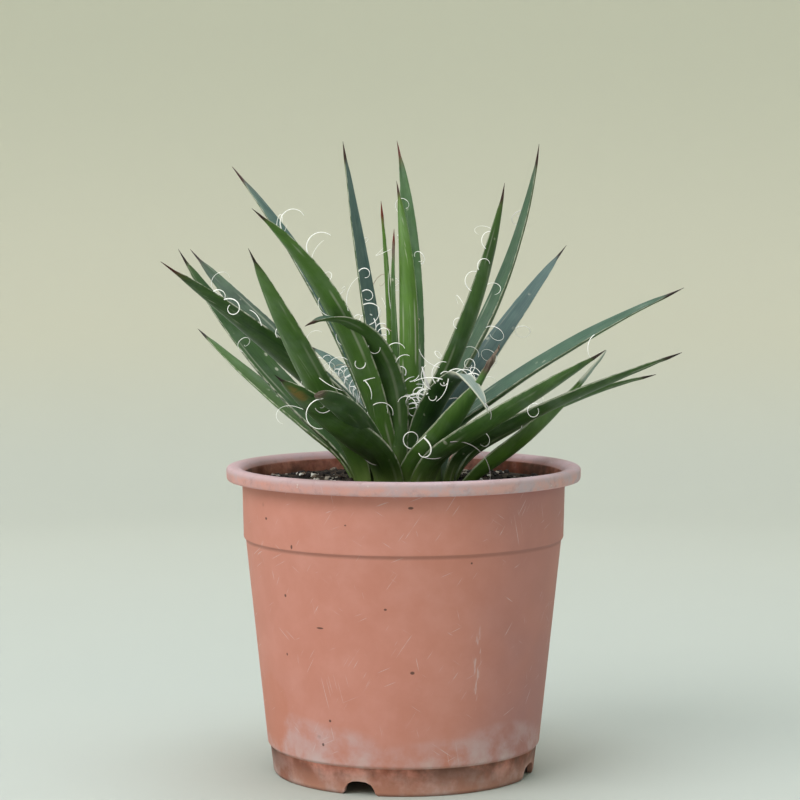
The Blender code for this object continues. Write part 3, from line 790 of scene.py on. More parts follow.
@dataclass
class Leaf:
    """One leaf with its spine, lofted along a bending centreline.

    seat is the azimuth of its base; heading and sweep turn the blade; rise, lean and
    droop are elevations at the base, past the first bend, and the change to the tip;
    roll turns the blade about its length; length, width and thick are in millimetres.
    """

    name: str
    slot: str
    shape: Shape
    terrace: int
    seat: float
    heading: float
    sweep: float
    rise: float
    lean: float
    droop: float
    roll: float
    length: float
    width: float
    thick: float
    look: Look
    threads: int = 0
    fold: float = 0.0
    fold_at: float = 1.0
    ring_points: int = 24
    blade_rings: int = 64
    spine_rings: int = 7
    steps: int = 240
    path: list[tuple[Vector, Vector, float]] = field(default_factory=list)
    seat_width: float = 0.0
    crown: Optional[Crown] = None

    def heading_at(self, at: float) -> tuple[Vector, float]:
        """Direction of the centreline at a station, and its azimuth in radians."""
        ease = max(0.0, 1.0 - at / TURN) ** 2
        lift = self.lean + (self.rise - self.lean) * ease + self.droop * at
        if at > self.fold_at:
            lift += self.fold * min(1.0, (at - self.fold_at) / 0.06)
        rise, turn = math.radians(lift), math.radians(self.heading + self.sweep * at)
        flat = math.cos(rise)
        return Vector((flat * math.sin(turn), -flat * math.cos(turn), math.sin(rise))), turn

    def plan(self, crown: Crown, fellows: int) -> None:
        """Lay out the centreline from the crown and the room between neighbours."""
        self.crown = crown
        share = 2 * math.pi * crown.radius(self.terrace) / fellows
        self.seat_width = min(self.width * MM, share * 0.86)
        place = crown.seat(self.terrace, self.seat)
        self.path = [(place.copy(), *self.heading_at(0.0))]
        for step in range(self.steps):
            middle, _ = self.heading_at((step + 0.5) / self.steps)
            place = place + middle * (self.length * MM / self.steps)
            self.path.append((place.copy(), *self.heading_at((step + 1.0) / self.steps)))

    def frame(self, at: float) -> tuple[Vector, Vector, Vector, Vector, float, float, float]:
        """Local measures at a station.

        Args:
            at: Station from 0 at the base to 1 at the tip.

        Returns:
            Place, along, across, normal, width, thickness and cupping.
        """
        reach = at * self.steps
        low = min(int(reach), self.steps - 1)
        blend = reach - low
        place = self.path[low][0].lerp(self.path[low + 1][0], blend)
        along = self.path[low][1].lerp(self.path[low + 1][1], blend).normalized()
        turn = self.path[low][2] * (1 - blend) + self.path[low + 1][2] * blend
        across = Vector((math.cos(turn), math.sin(turn), 0.0))
        settled = min(1.0, at / TURN)
        if settled < 1.0:
            base_turn = math.radians(self.seat)
            seat_across = Vector((math.cos(base_turn), math.sin(base_turn), 0.0))
            across = (seat_across * (1.0 - settled) + across * settled).normalized()
        normal = across.cross(along).normalized() * -1.0
        rolled = math.radians(self.roll * settled)
        across, normal = (across * math.cos(rolled) + normal * math.sin(rolled),
                          normal * math.cos(rolled) - across * math.sin(rolled))
        full = self.width * MM * flowing(self.shape.value, at)
        width = self.seat_width * (1.0 - settled) + full * settled
        thick = self.thick * MM * flowing(THICKNESS, at)
        base_thick = self.crown.step - 2 * self.crown.gap
        thick = min(thick, base_thick) * (1.0 - settled) + thick * settled
        width, thick = max(width, SPINE), max(thick, SPINE)
        if at > SPINE_START:
            rest = max(0.0, (1.0 - at) / (1.0 - SPINE_START))
            if self.shape is Shape.PLAIN:
                width = thick = SPINE * max(0.1, rest ** 0.8)
            else:
                width, thick = width * max(0.06, rest ** 0.5), thick * max(0.06, rest ** 0.5)
        seat_cup = self.seat_width ** 2 / (8.0 * self.crown.radius(self.terrace))
        cup = seat_cup * (1.0 - settled) + 0.09 * width * settled
        return place, along, across, normal, width, thick, cup

    def stations(self) -> list[float]:
        """Stations of the rings, closer together along the spine."""
        blade = [SPINE_START * number / self.blade_rings for number in range(self.blade_rings)]
        spine = [SPINE_START + (1 - SPINE_START) * number / self.spine_rings
                 for number in range(self.spine_rings + 1)]
        return blade + spine

    def build(self, material: bpy.types.Material) -> bpy.types.Object:
        """Loft the leaf and store the masks that its skin reads."""
        half = self.ring_points // 2
        turns = [-math.cos(math.pi * number / half) for number in range(half)]
        section = [(u, True) for u in turns] + [(-u, False) for u in turns]
        dice = random.Random(self.name)
        seed = dice.uniform(0.0, 5.0)
        points, faces = [], []
        marks: dict[str, list[float]] = {word: [] for word in (
            "along", "across", "upper", "dry", "thorn", "rust", "ghost")}
        skin: list[tuple[float, float, float]] = []
        for at in self.stations():
            place, along, across, normal, width, thick, cup = self.frame(at)
            crumple = self.crumple(at)
            for u, above in section:
                bulge = (1.0 - u * u) ** 0.65 if abs(u) < 1.0 else 0.0
                n = (0.25 if above else -0.78) * bulge
                point = (place + across * (width / 2 * u)
                         + normal * (thick * n + cup * u * u))
                if at == 0.0:
                    point.z = place.z
                if crumple > 0.0:
                    shove = noise.noise_vector(point * 420.0 + Vector((seed, 0.0, 0.0)))
                    point = point + shove * crumple
                ripple = noise.noise(Vector((at * 9.0, u * 1.4, seed * 7.0)))
                point = point + normal * (ripple * 0.16 * MM * min(1.0, at * 4.0))
                points.append(point)
                marks["along"].append(at)
                marks["across"].append(u)
                marks["upper"].append(0.5 if abs(u) == 1.0 else float(above))
                marks["dry"].append(self.dryness(at))
                marks["thorn"].append(self.thorniness(at, u))
                marks["rust"].append(self.rustiness(at, u))
                marks["ghost"].append(min(1.0, max(0.0, (at - self.look.ghost) / 0.03)))
                lateral = width / 2 * (u if above else 2.5 - u)
                skin.append((at * self.length * MM, lateral, seed))
        count = len(section)
        rings = len(points) // count
        for ring in range(rings - 1):
            for corner in range(count):
                after = (corner + 1) % count
                low, high = ring * count, (ring + 1) * count
                faces.append((low + corner, high + corner, high + after, low + after))
        faces.append(tuple(range(count)))
        faces.append(tuple(reversed(range((rings - 1) * count, rings * count))))
        numbers = {word: np.array(values) for word, values in marks.items()}
        total = len(points)
        numbers.update(tone=np.full(total, self.look.tone), blue=np.full(total, self.look.blue),
                       red=np.full(total, self.look.red), print=np.full(total, self.look.print))
        return piece_from(f"{self.name}_blade", np.array(points), faces, material, numbers,
                          {"skin": np.array(skin)})

    def crumple(self, at: float) -> float:
        """How far the skin shrivels at a station."""
        if self.shape is not Shape.WITHERED:
            return 0.0
        return 0.7 * MM * min(1.0, max(0.0, (at - self.look.dry + 0.06) / 0.2))

    def dryness(self, at: float) -> float:
        """Share of browned tissue at a station."""
        return min(1.0, max(0.0, (at - self.look.dry) / 0.07))

    def thorniness(self, at: float, u: float) -> float:
        """Mask of the hard dark spine and its short collar."""
        if self.shape is not Shape.PLAIN or self.look.ghost < 1.0:
            return 0.0
        return min(1.0, max(0.0, (at - 0.925 - 0.012 * (1 - abs(u))) / 0.02))

    def rustiness(self, at: float, u: float) -> float:
        """Mask of the orange spot."""
        if self.look.rust < 0.0:
            return 0.0
        reach = ((at - self.look.rust) / 0.07) ** 2 + ((u - 0.1) / 0.6) ** 2
        return min(1.0, max(0.0, 1.3 - reach))


LEAVES = (
    Leaf("leaf_centre_tall", "leaf_inner", Shape.PLAIN, 0, 20, 11, 7, 84, 68, 52, -10,
         105, 7.0, 2.4, Look(0.7, 0.55, 1.1, red=0.2), 5),
    Leaf("leaf_centre_young", "leaf_inner", Shape.PLAIN, 0, 140, 149, 0, 85, 113, -28, 0,
         86, 2.8, 1.5, Look(0.5, 0.2, 0.5, dry=0.86, red=0.8), 2),
    Leaf("leaf_centre_thin", "leaf_inner", Shape.PLAIN, 0, -100, -73, 4, 76, 92, -8, 20,
         95, 3.6, 1.8, Look(0.6, 0.2, 0.4, red=1.0), 2),
    Leaf("leaf_right_tall", "leaf_inner", Shape.PLAIN, 1, 50, 52, 1, 106, 49, 30, -9,
         110, 9.0, 3.2, Look(0.25, 0.6, 0.4, red=0.1), 7),
    Leaf("leaf_back_tallest", "leaf_inner", Shape.PLAIN, 1, 150, 173, 22, 80, 90, -38, 16,
         128, 8.5, 3.0, Look(0.4, 0.3, 0.4, red=0.7), 3),
    Leaf("leaf_back_left_tall", "leaf_inner", Shape.PLAIN, 1, -120, -143, 1, 91, 74, 2, 16,
         121, 8.5, 3.0, Look(0.25, 1.0, 0.4, red=0.1), 3),
    Leaf("leaf_left_tall", "leaf_inner", Shape.PLAIN, 1, -35, -38, 4, 68, 76, -51, 13,
         125, 9.5, 3.4, Look(0.6, 0.75, 0.7, red=0.1), 4),
    Leaf("leaf_front_arched", "leaf_middle", Shape.PLAIN, 2, -24, -33, -1, 90, 118, -138, -1,
         94, 12.5, 3.8, Look(0.3, 0.7, 0.3, red=0.2), 2),
    Leaf("leaf_right_snapped", "leaf_middle", Shape.PLAIN, 2, 36, 38, -12, 106, 86, -96, -10,
         74, 10.0, 2.6, Look(0.08, 0.4, 0.3, ghost=0.66), 2, -38, 0.66),
    Leaf("leaf_back_right_tall", "leaf_middle", Shape.PLAIN, 2, 132, 120, -5, 108, 42, 39, 0,
         130, 9.5, 3.4, Look(0.22, 0.5, 0.7, red=0.1), 3),
    Leaf("leaf_back_left_spread", "leaf_middle", Shape.PLAIN, 2, -150, -120, 0, 82, 70, -25, -8,
         131, 10.0, 3.4, Look(0.25, 0.9, 0.4, red=0.2), 3),
    Leaf("leaf_left_long", "leaf_middle", Shape.PLAIN, 2, -80, -62, 1, 96, 43, -10, 33,
         116, 10.5, 3.8, Look(0.12, 0.08, 0.5, red=0.3), 2),
    Leaf("leaf_left_middle", "leaf_middle", Shape.PLAIN, 4, -64, -35, 2, 82, 46, 6, 23,
         109, 10.0, 3.6, Look(0.42, 0.6, 0.3, dry=0.965), 1),
    Leaf("leaf_front_withered", "leaf_middle", Shape.WITHERED, 3, 14, 46, 0, 100, 33, 24, -16,
         67, 10.5, 3.4, Look(0.5, 0.7, 0.3, dry=0.8), 1),
    Leaf("leaf_right_long", "leaf_middle", Shape.PLAIN, 3, 80, 66, -2, 112, 40, -17, 34,
         121, 9.5, 3.2, Look(0.3, 0.7, 0.9), 2),
    Leaf("leaf_back_right_mid", "leaf_middle", Shape.PLAIN, 3, 140, 128, 0, 92, 51, -7, 32,
         109, 8.5, 3.2, Look(0.28, 1.0, 0.4), 2),
    Leaf("leaf_back_left_mid", "leaf_middle", Shape.PLAIN, 3, -145, -123, -4, 92, 33, 8, -35,
         124, 11.0, 3.4, Look(0.04, 0.2, 0.4), 3),
    Leaf("leaf_front_right", "leaf_outer", Shape.PLAIN, 4, 24, 45, -1, 90, 26, 1, -13,
         102, 10.0, 3.6, Look(0.28, 0.7, 0.3), 1),
    Leaf("leaf_right_low_long", "leaf_outer", Shape.PLAIN, 4, 86, 55, -2, 96, 27, -9, 4,
         112, 10.5, 4.0, Look(0.2, 0.7, 0.5), 1),
    Leaf("leaf_back_left_short", "leaf_outer", Shape.PLAIN, 4, -172, -148, 4, 82, 60, -46, -13,
         80, 8.5, 2.6, Look(0.5, 0.9, 0.6), 8),
    Leaf("leaf_left_outer", "leaf_outer", Shape.PLAIN, 4, -112, -102, -4, 78, 37, 20, -25,
         110, 11.5, 3.8, Look(0.2, 0.15, 0.5), 2),
    Leaf("leaf_front_left_spotted", "leaf_outer", Shape.PLAIN, 4, -20, -29, 0, 101, 24, 1, 31,
         91, 11.0, 3.8, Look(0.22, 0.3, 0.2, dry=0.96, rust=0.84), 1),
    Leaf("leaf_front_blunt", "leaf_outer", Shape.BLUNT, 3, -48, -10, -6, 96, 29, -20, 37,
         95, 8.5, 3.4, Look(0.16, 0.8, 0.2, dry=0.925), 1),
    Leaf("leaf_back_low", "leaf_outer", Shape.PLAIN, 4, 135, 158, 4, 85, 40, -16, 0,
         88, 11.0, 3.6, Look(0.45, 0.8, 0.4), 4),
    Leaf("leaf_left_lowest", "leaf_outer", Shape.PLAIN, 5, -128, -123, -6, 79, 29, 5, -6,
         97, 9.0, 3.0, Look(0.55, 0.2, 0.4), 1),
    Leaf("leaf_back_right_lowest", "leaf_outer", Shape.PLAIN, 5, 120, 107, -2, 90, 35, -25, -16,
         93, 9.5, 3.2, Look(0.3, 0.5, 0.4, dry=0.93), 1),
    Leaf("leaf_right_lowest", "leaf_outer", Shape.WITHERED, 5, 80, 84, 0, 62, 29, 25, -29,
         74, 9.5, 3.4, Look(0.5, 0.3, 0.3, ghost=0.8), 1),
    Leaf("leaf_back_lowest", "leaf_outer", Shape.PLAIN, 5, -178, -172, 6, 85, 26, -6, 0,
         84, 10.5, 3.4, Look(0.45, 0.7, 0.4), 3),
)


# ---- fibres --------------------------------------------------------------------
@dataclass
class Thread:
    """One fibre that peels from a leaf margin and curls up.

    at and side place its root; length and radius are in millimetres; age runs from
    fresh white to old tan; swell tightens the curl towards its end.
    """

    leaf: str
    at: float
    side: float
    length: float
    age: float = 0.0
    radius: float = 0.2
    swell: float = 0.3

    def spine(self, leaf: Leaf) -> np.ndarray:
        """Points along the fibre from its root on the leaf."""
        raise NotImplementedError

    def tube(self, leaf: Leaf, sides: int = 5) -> tuple[np.ndarray, list[tuple[int, ...]]]:
        """Points and faces of the fibre as a thin tapering tube."""
        line = self.spine(leaf)
        tangents = np.gradient(line, axis=0)
        tangents /= np.linalg.norm(tangents, axis=1)[:, None]
        guide = np.array((0.31, 0.47, 0.83))
        points = []
        for number, (spot, tangent) in enumerate(zip(line, tangents)):
            guide = guide - tangent * float(guide @ tangent)
            guide /= np.linalg.norm(guide)
            other = np.cross(tangent, guide)
            thick = self.radius * MM * (1.0 - 0.55 * number / (len(line) - 1))
            for corner in range(sides):
                angle = 2 * math.pi * corner / sides
                points.append(spot + (guide * math.cos(angle) + other * math.sin(angle)) * thick)
        faces: list[tuple[int, ...]] = []
        for ring in range(len(line) - 1):
            for corner in range(sides):
                after = (corner + 1) % sides
                low, high = ring * sides, (ring + 1) * sides
                faces.append((low + corner, low + after, high + after, high + corner))
        faces.append(tuple(reversed(range(sides))))
        faces.append(tuple(range((len(line) - 1) * sides, len(line) * sides)))
        return np.array(points), faces


@dataclass
class Wisp(Thread):
    """One fibre that curls freely in space.

    turns is how far it curls, its sign the way round; out, up and forth set its first
    direction across, off and along the blade; drift pulls it out of its plane.
    """

    turns: float = 1.0
    out: float = 0.7
    up: float = 0.4
    forth: float = 0.5
    drift: float = 0.25

    def spine(self, leaf: Leaf, count: int = 26) -> np.ndarray:
        """Points along the fibre from its root on the leaf."""
        place, along, across, normal, width, _, cup = leaf.frame(self.at)
        root = place + across * (width / 2 * self.side) + normal * cup
        first = (across * (self.out * self.side) + normal * self.up
                 + along * self.forth).normalized()
        pole = first.cross(normal + along * 0.35)
        pole = (pole.normalized() if pole.length > 0.05 else across.copy())
        points, heading, spot = [root.copy()], first.copy(), root.copy()
        step = self.length * MM / (count - 1)
        for number in range(count - 1):
            s = number / (count - 2)
            bend = 2 * math.pi * self.turns / (count - 1) * (1.0 + self.swell * (2 * s - 1))
            heading = (Matrix.Rotation(bend, 3, pole) @ heading).normalized()
            spot = spot + (heading + pole * self.drift * (s - 0.2)).normalized() * step
            points.append(spot.copy())
        return np.array(points)


@dataclass
class Curl(Thread):
    """One fibre laid along a given path, mostly facing the front.

    aim is its first direction in degrees, 0 to the right and 90 up; bend is how far it
    turns on the way, anticlockwise above zero; toward lifts it off the leaf to the
    front, in millimetres.
    """

    aim: float = 90.0
    bend: float = -200.0
    toward: float = 1.2

    def spine(self, leaf: Leaf, count: int = 34) -> np.ndarray:
        """Points along the fibre from its root on the leaf."""
        place, _, across, normal, width, thick, cup = leaf.frame(self.at)
        front = Vector((0.0, -1.0, 0.0))
        facing = 1.0 if normal.dot(front) > 0 else -1.0
        root = (place + across * (width / 2 * self.side) + normal * (cup * self.side ** 2)
                + normal * (facing * thick * (0.2 if facing > 0 else 0.7)
                            * (1.0 - self.side ** 2)))
        spot, points = root.copy(), [root.copy()]
        step = self.length * MM / (count - 1)
        for number in range(count - 1):
            s = (number + 0.5) / (count - 1)
            turned = self.bend * s * (1.0 - self.swell + self.swell * s)
            angle = math.radians(self.aim + turned)
            spot = spot + Vector((math.cos(angle), 0.0, math.sin(angle))) * step
            lift = self.toward * MM * math.sin(math.pi * min(1.0, 0.15 + s * 0.75))
            points.append(spot + front * lift)
        return np.array(points)


@dataclass
class Fibres:
    """All fibres of one ring of leaves, joined as one piece."""

    slot: str
    leaves: Sequence[Leaf]
    extra: Sequence[Thread] = ()
    length: float = 15.0
    seed: int = 5

    def grow(self) -> list[Thread]:
        """Scatter fibres along the margins of every leaf."""
        threads = []
        for leaf in self.leaves:
            dice = random.Random(f"{leaf.name}{self.seed}")
            for number in range(leaf.threads):
                at = 0.16 + 0.7 * (number + dice.uniform(0.1, 0.9)) / leaf.threads
                size = dice.uniform(0.6, 1.3)
                threads.append(Wisp(
                    leaf.name, at, dice.choice((-1.0, 1.0)), self.length * size,
                    turns=dice.choice((-1.0, 1.0)) * dice.uniform(0.45, 1.25),
                    swell=dice.uniform(0.2, 0.9), out=dice.uniform(0.3, 1.0),
                    up=dice.uniform(-0.2, 0.9), forth=dice.uniform(-0.6, 0.9),
                    drift=dice.uniform(-0.4, 0.4),
                    age=dice.choice((0.0, 0.0, 0.0, 0.1, 0.2, 0.5, 0.9)),
                    radius=dice.uniform(0.09, 0.16)))
        return threads

    def build(self, material: bpy.types.Material) -> bpy.types.Object:
        """Join the fibres of the ring."""
        by_name = {leaf.name: leaf for leaf in self.leaves}
        points, faces, ages, start = [], [], [], 0
        for thread in [*self.grow(), *(t for t in self.extra if t.leaf in by_name)]:
            corners, sides = thread.tube(by_name[thread.leaf])
            points.append(corners)
            faces += [tuple(start + corner for corner in side) for side in sides]
            ages += [thread.age] * len(corners)
            start += len(corners)
        name = self.slot.replace("leaf", "threads")
        return piece_from(name, np.vstack(points), faces, material, {"age": np.array(ages)})


CURLS = (
    Curl("leaf_left_long", 0.82, 1.0, 6.0, aim=35, bend=-150),
    Curl("leaf_left_long", 0.78, 0.9, 15.0, aim=20, bend=-350, swell=0.6, radius=0.24),
    Curl("leaf_left_long", 0.64, 0.9, 7.0, aim=100, bend=60),
    Curl("leaf_left_long", 0.58, 0.9, 4.0, aim=120, bend=-90),
    Curl("leaf_left_tall", 0.88, 1.0, 13.0, aim=110, bend=-175, swell=0.2),
    Curl("leaf_left_tall", 0.76, 1.0, 13.0, aim=112, bend=-150, swell=0.0, radius=0.24),
    Curl("leaf_left_tall", 0.74, 1.0, 7.0, aim=75, bend=-40, swell=0.0, age=0.3, radius=0.13),
    Curl("leaf_left_tall", 0.53, 0.9, 13.0, aim=108, bend=-75, swell=0.2, radius=0.15),
    Curl("leaf_left_tall", 0.48, 0.9, 6.0, aim=140, bend=-190),
    Curl("leaf_left_tall", 0.42, -0.9, 7.0, aim=150, bend=-120, radius=0.15),
    Curl("leaf_left_tall", 0.4, -0.9, 6.0, aim=120, bend=-140, radius=0.15),
    Curl("leaf_back_left_tall", 0.6, 0.9, 8.0, aim=60, bend=-250),
    Curl("leaf_back_left_tall", 0.54, 0.8, 9.0, aim=40, bend=-270),
    Curl("leaf_back_left_tall", 0.5, 0.9, 9.0, aim=25, bend=-130, radius=0.24),
    Curl("leaf_back_left_tall", 0.47, -0.1, 8.0, aim=150, bend=180, radius=0.24),
    Curl("leaf_back_left_tall", 0.46, -0.3, 6.0, aim=-60, bend=-80, radius=0.24),
    Curl("leaf_back_left_tall", 0.44, 0.5, 8.0, aim=20, bend=100, radius=0.2),
    Curl("leaf_back_left_tall", 0.41, -0.6, 15.0, aim=150, bend=-400, swell=0.1, radius=0.24),
    Curl("leaf_back_left_tall", 0.4, -0.4, 12.0, aim=60, bend=-330, swell=0.2, radius=0.2),
    Curl("leaf_back_left_tall", 0.39, -0.7, 9.0, aim=35, bend=-120, radius=0.24),
    Curl("leaf_back_left_tall", 0.37, -0.8, 8.0, aim=75, bend=-190, radius=0.2),
    Curl("leaf_front_arched", 0.58, 0.8, 9.0, aim=135, bend=-240, toward=0.4),
    Curl("leaf_front_arched", 0.55, 0.8, 15.0, aim=112, bend=380, toward=0.4),
    Curl("leaf_front_arched", 0.53, 0.8, 8.0, aim=60, bend=-130, toward=0.4),
    Curl("leaf_front_arched", 0.5, 0.8, 7.0, aim=80, bend=160, toward=0.4),
    Curl("leaf_front_arched", 0.46, 0.9, 6.0, aim=70, bend=-100, age=0.3, toward=0.4),
    Curl("leaf_left_middle", 0.42, -0.8, 21.0, aim=112, bend=-330, swell=0.3, radius=0.22),
    Curl("leaf_left_middle", 0.48, 0.5, 9.0, aim=-40, bend=25, radius=0.18),
    Curl("leaf_front_blunt", 0.92, -0.2, 16.0, aim=182, bend=190, swell=0.2, radius=0.19),
    Curl("leaf_back_left_short", 0.72, 0.7, 8.0, aim=20, bend=-230),
    Curl("leaf_back_left_short", 0.66, 0.9, 13.0, aim=110, bend=-330, radius=0.24),
    Curl("leaf_back_left_short", 0.62, 0.3, 11.0, aim=150, bend=-300),
    Curl("leaf_back_left_short", 0.6, 0.9, 12.0, aim=95, bend=-280, radius=0.24),
    Curl("leaf_back_left_short", 0.57, 0.7, 9.0, aim=30, bend=-300),
    Curl("leaf_back_left_short", 0.54, 0.5, 11.0, aim=60, bend=-150, radius=0.15),
    Curl("leaf_back_left_short", 0.52, 0.9, 12.0, aim=125, bend=-210),
    Curl("leaf_back_left_short", 0.49, 0.9, 14.0, aim=112, bend=-190),
    Curl("leaf_back_left_short", 0.45, 0.8, 14.0, aim=100, bend=-210, radius=0.15),
    Curl("leaf_back_left_short", 0.42, -0.3, 10.0, aim=120, bend=-160, radius=0.15),
    Curl("leaf_back_left_short", 0.4, 0.9, 11.0, aim=80, bend=-200, radius=0.15),
    Curl("leaf_back_left_short", 0.84, 0.8, 4.0, aim=60, bend=-140, radius=0.14),
    Curl("leaf_left_tall", 0.35, 0.2, 12.0, aim=20, bend=390, swell=0.0, radius=0.24),
    Curl("leaf_left_tall", 0.31, 0.0, 4.0, aim=25, bend=-20, radius=0.24),
    Curl("leaf_left_tall", 0.31, 0.1, 7.0, aim=-45, bend=-60, radius=0.22),
    Curl("leaf_left_tall", 0.25, -0.7, 12.0, aim=20, bend=-120, radius=0.18),
    Curl("leaf_left_tall", 0.23, 0.1, 10.0, aim=35, bend=-140, radius=0.18),
    Curl("leaf_left_tall", 0.19, -0.8, 9.0, aim=55, bend=-150, radius=0.18),
    Curl("leaf_front_arched", 0.22, -0.8, 9.0, aim=95, bend=-170, radius=0.18),
    Curl("leaf_front_arched", 0.2, -0.6, 6.0, aim=70, bend=-60, age=0.3, radius=0.15),
    Curl("leaf_front_arched", 0.18, -0.3, 7.0, aim=35, bend=20, age=0.3, radius=0.15),
    Curl("leaf_centre_tall", 0.33, -0.4, 7.0, aim=60, bend=230, radius=0.24),
    Curl("leaf_centre_tall", 0.3, -0.6, 5.0, aim=60, bend=-60, radius=0.22),
    Curl("leaf_centre_tall", 0.31, 0.1, 4.0, aim=10, bend=60, radius=0.22),
    Curl("leaf_centre_tall", 0.2, -0.4, 15.0, aim=105, bend=-350, radius=0.26, toward=2.5),
    Curl("leaf_centre_tall", 0.22, -0.9, 14.0, aim=95, bend=-120, toward=2.0),
    Curl("leaf_centre_tall", 0.24, 0.4, 10.0, aim=-10, bend=130, toward=2.0),
    Curl("leaf_centre_tall", 0.25, 0.0, 13.0, aim=40, bend=-240, toward=2.5),
    Curl("leaf_centre_tall", 0.27, -0.7, 11.0, aim=-30, bend=140, toward=2.0),
    Curl("leaf_right_tall", 0.26, -0.7, 11.0, aim=115, bend=-190, radius=0.24),
    Curl("leaf_right_tall", 0.27, -0.9, 10.0, aim=140, bend=150, radius=0.26),
    Curl("leaf_right_tall", 0.25, -0.9, 9.0, aim=170, bend=-260, radius=0.26),
    Curl("leaf_right_tall", 0.28, -0.9, 8.0, aim=100, bend=200, radius=0.24),
    Curl("leaf_right_tall", 0.29, -0.5, 13.0, aim=177, bend=14, age=0.4, radius=0.14),
    Curl("leaf_right_tall", 0.3, -0.9, 8.0, aim=112, bend=-8, swell=0.0, age=0.5, radius=0.6),
    Curl("leaf_right_snapped", 0.36, -1.0, 10.0, aim=85, bend=170),
    Curl("leaf_right_snapped", 0.4, -1.0, 9.0, aim=120, bend=-200),
    Curl("leaf_right_snapped", 0.46, -0.9, 9.0, aim=60, bend=-340, radius=0.24),
    Curl("leaf_right_snapped", 0.5, -0.9, 10.0, aim=150, bend=-110, age=0.3, radius=0.16),
    Curl("leaf_right_snapped", 0.58, -0.5, 15.0, aim=98, bend=-200, swell=0.1, radius=0.28),
    Curl("leaf_right_snapped", 0.62, -0.2, 14.0, aim=85, bend=-210, radius=0.2),
    Curl("leaf_right_snapped", 0.66, 0.5, 10.0, aim=55, bend=-170, radius=0.28),
    Curl("leaf_right_snapped", 0.6, -0.8, 10.0, aim=162, bend=50, radius=0.22),
    Curl("leaf_right_snapped", 0.57, -0.9, 8.0, aim=70, bend=-330, radius=0.26),
    Curl("leaf_right_snapped", 0.55, -0.9, 11.0, aim=130, bend=-150, radius=0.2),
    Curl("leaf_right_snapped", 0.63, -0.6, 9.0, aim=-95, bend=-50, radius=0.2),
    Curl("leaf_right_snapped", 0.68, 0.7, 7.0, aim=-60, bend=-60, radius=0.22),
    Curl("leaf_right_tall", 0.41, 0.6, 13.0, aim=105, bend=-210, radius=0.16),
    Curl("leaf_right_tall", 0.36, -0.7, 9.0, aim=60, bend=-330),
    Curl("leaf_right_tall", 0.38, -0.9, 10.0, aim=165, bend=-60, age=0.4, radius=0.16),
    Curl("leaf_front_withered", 0.22, -1.0, 14.0, aim=165, bend=-300, age=0.25,
         radius=0.22, toward=3.0),
    Curl("leaf_front_withered", 0.32, -0.9, 11.0, aim=-35, bend=-215, swell=0.7, radius=0.32,
         toward=3.5),
    Curl("leaf_front_withered", 0.34, -0.9, 6.0, aim=215, bend=15, age=0.2, radius=0.16,
         toward=3.0),
    Curl("leaf_front_right", 0.15, -0.9, 11.0, aim=-15, bend=80, age=0.6, radius=0.16,
         toward=2.0),
    Curl("leaf_front_right", 0.27, -0.7, 22.0, aim=15, bend=-108, swell=-0.2, age=0.75,
         radius=0.16, toward=3.0),
    Curl("leaf_right_snapped", 0.94, 0.0, 6.0, aim=-40, bend=-70, age=0.6, radius=0.15),
    Curl("leaf_left_outer", 0.14, 0.4, 10.0, aim=-40, bend=-30, age=0.75, radius=0.15),
    Curl("leaf_front_left_spotted", 0.19, -0.9, 7.0, aim=-50, bend=75, age=0.75,
         radius=0.16),
    Curl("leaf_centre_thin", 0.72, -1.0, 8.0, aim=15, bend=-120, radius=0.16),
    Curl("leaf_centre_thin", 0.6, 0.8, 22.0, aim=100, bend=-30, age=0.5, radius=0.15),
    Curl("leaf_centre_thin", 0.5, -0.8, 14.0, aim=80, bend=40, age=0.3, radius=0.15),
    Curl("leaf_centre_thin", 0.4, 0.8, 9.0, aim=60, bend=-200, radius=0.18),
    Curl("leaf_right_tall", 0.65, -0.9, 11.0, aim=150, bend=-190, radius=0.18),
    Curl("leaf_right_tall", 0.72, -0.9, 8.0, aim=120, bend=-210, radius=0.18),
    Curl("leaf_right_tall", 0.79, -0.9, 9.0, aim=140, bend=-170, radius=0.18),
    Curl("leaf_right_tall", 0.52, -0.9, 7.0, aim=150, bend=-230, age=0.3, radius=0.15),
)


@dataclass
class Rosette:
    """The whole crown of leaves with its fibres."""

    crown: Crown
    leaves: Sequence[Leaf] = LEAVES
    extra: Sequence[Thread] = CURLS

    def build(self) -> None:
        """Build and dress every leaf, then the fibres of each ring."""
        skin, fibre = LeafSkin().make(), Fibre().make()
        for leaf in self.leaves:
            fellows = sum(1 for other in self.leaves if other.terrace == leaf.terrace)
            leaf.plan(self.crown, fellows)
            settle(leaf.build(skin), leaf.slot, leaf.name)
        for slot in ("leaf_inner", "leaf_middle", "leaf_outer"):
            ring = [leaf for leaf in self.leaves if leaf.slot == slot]
            settle(Fibres(slot, ring, self.extra).build(fibre), slot)


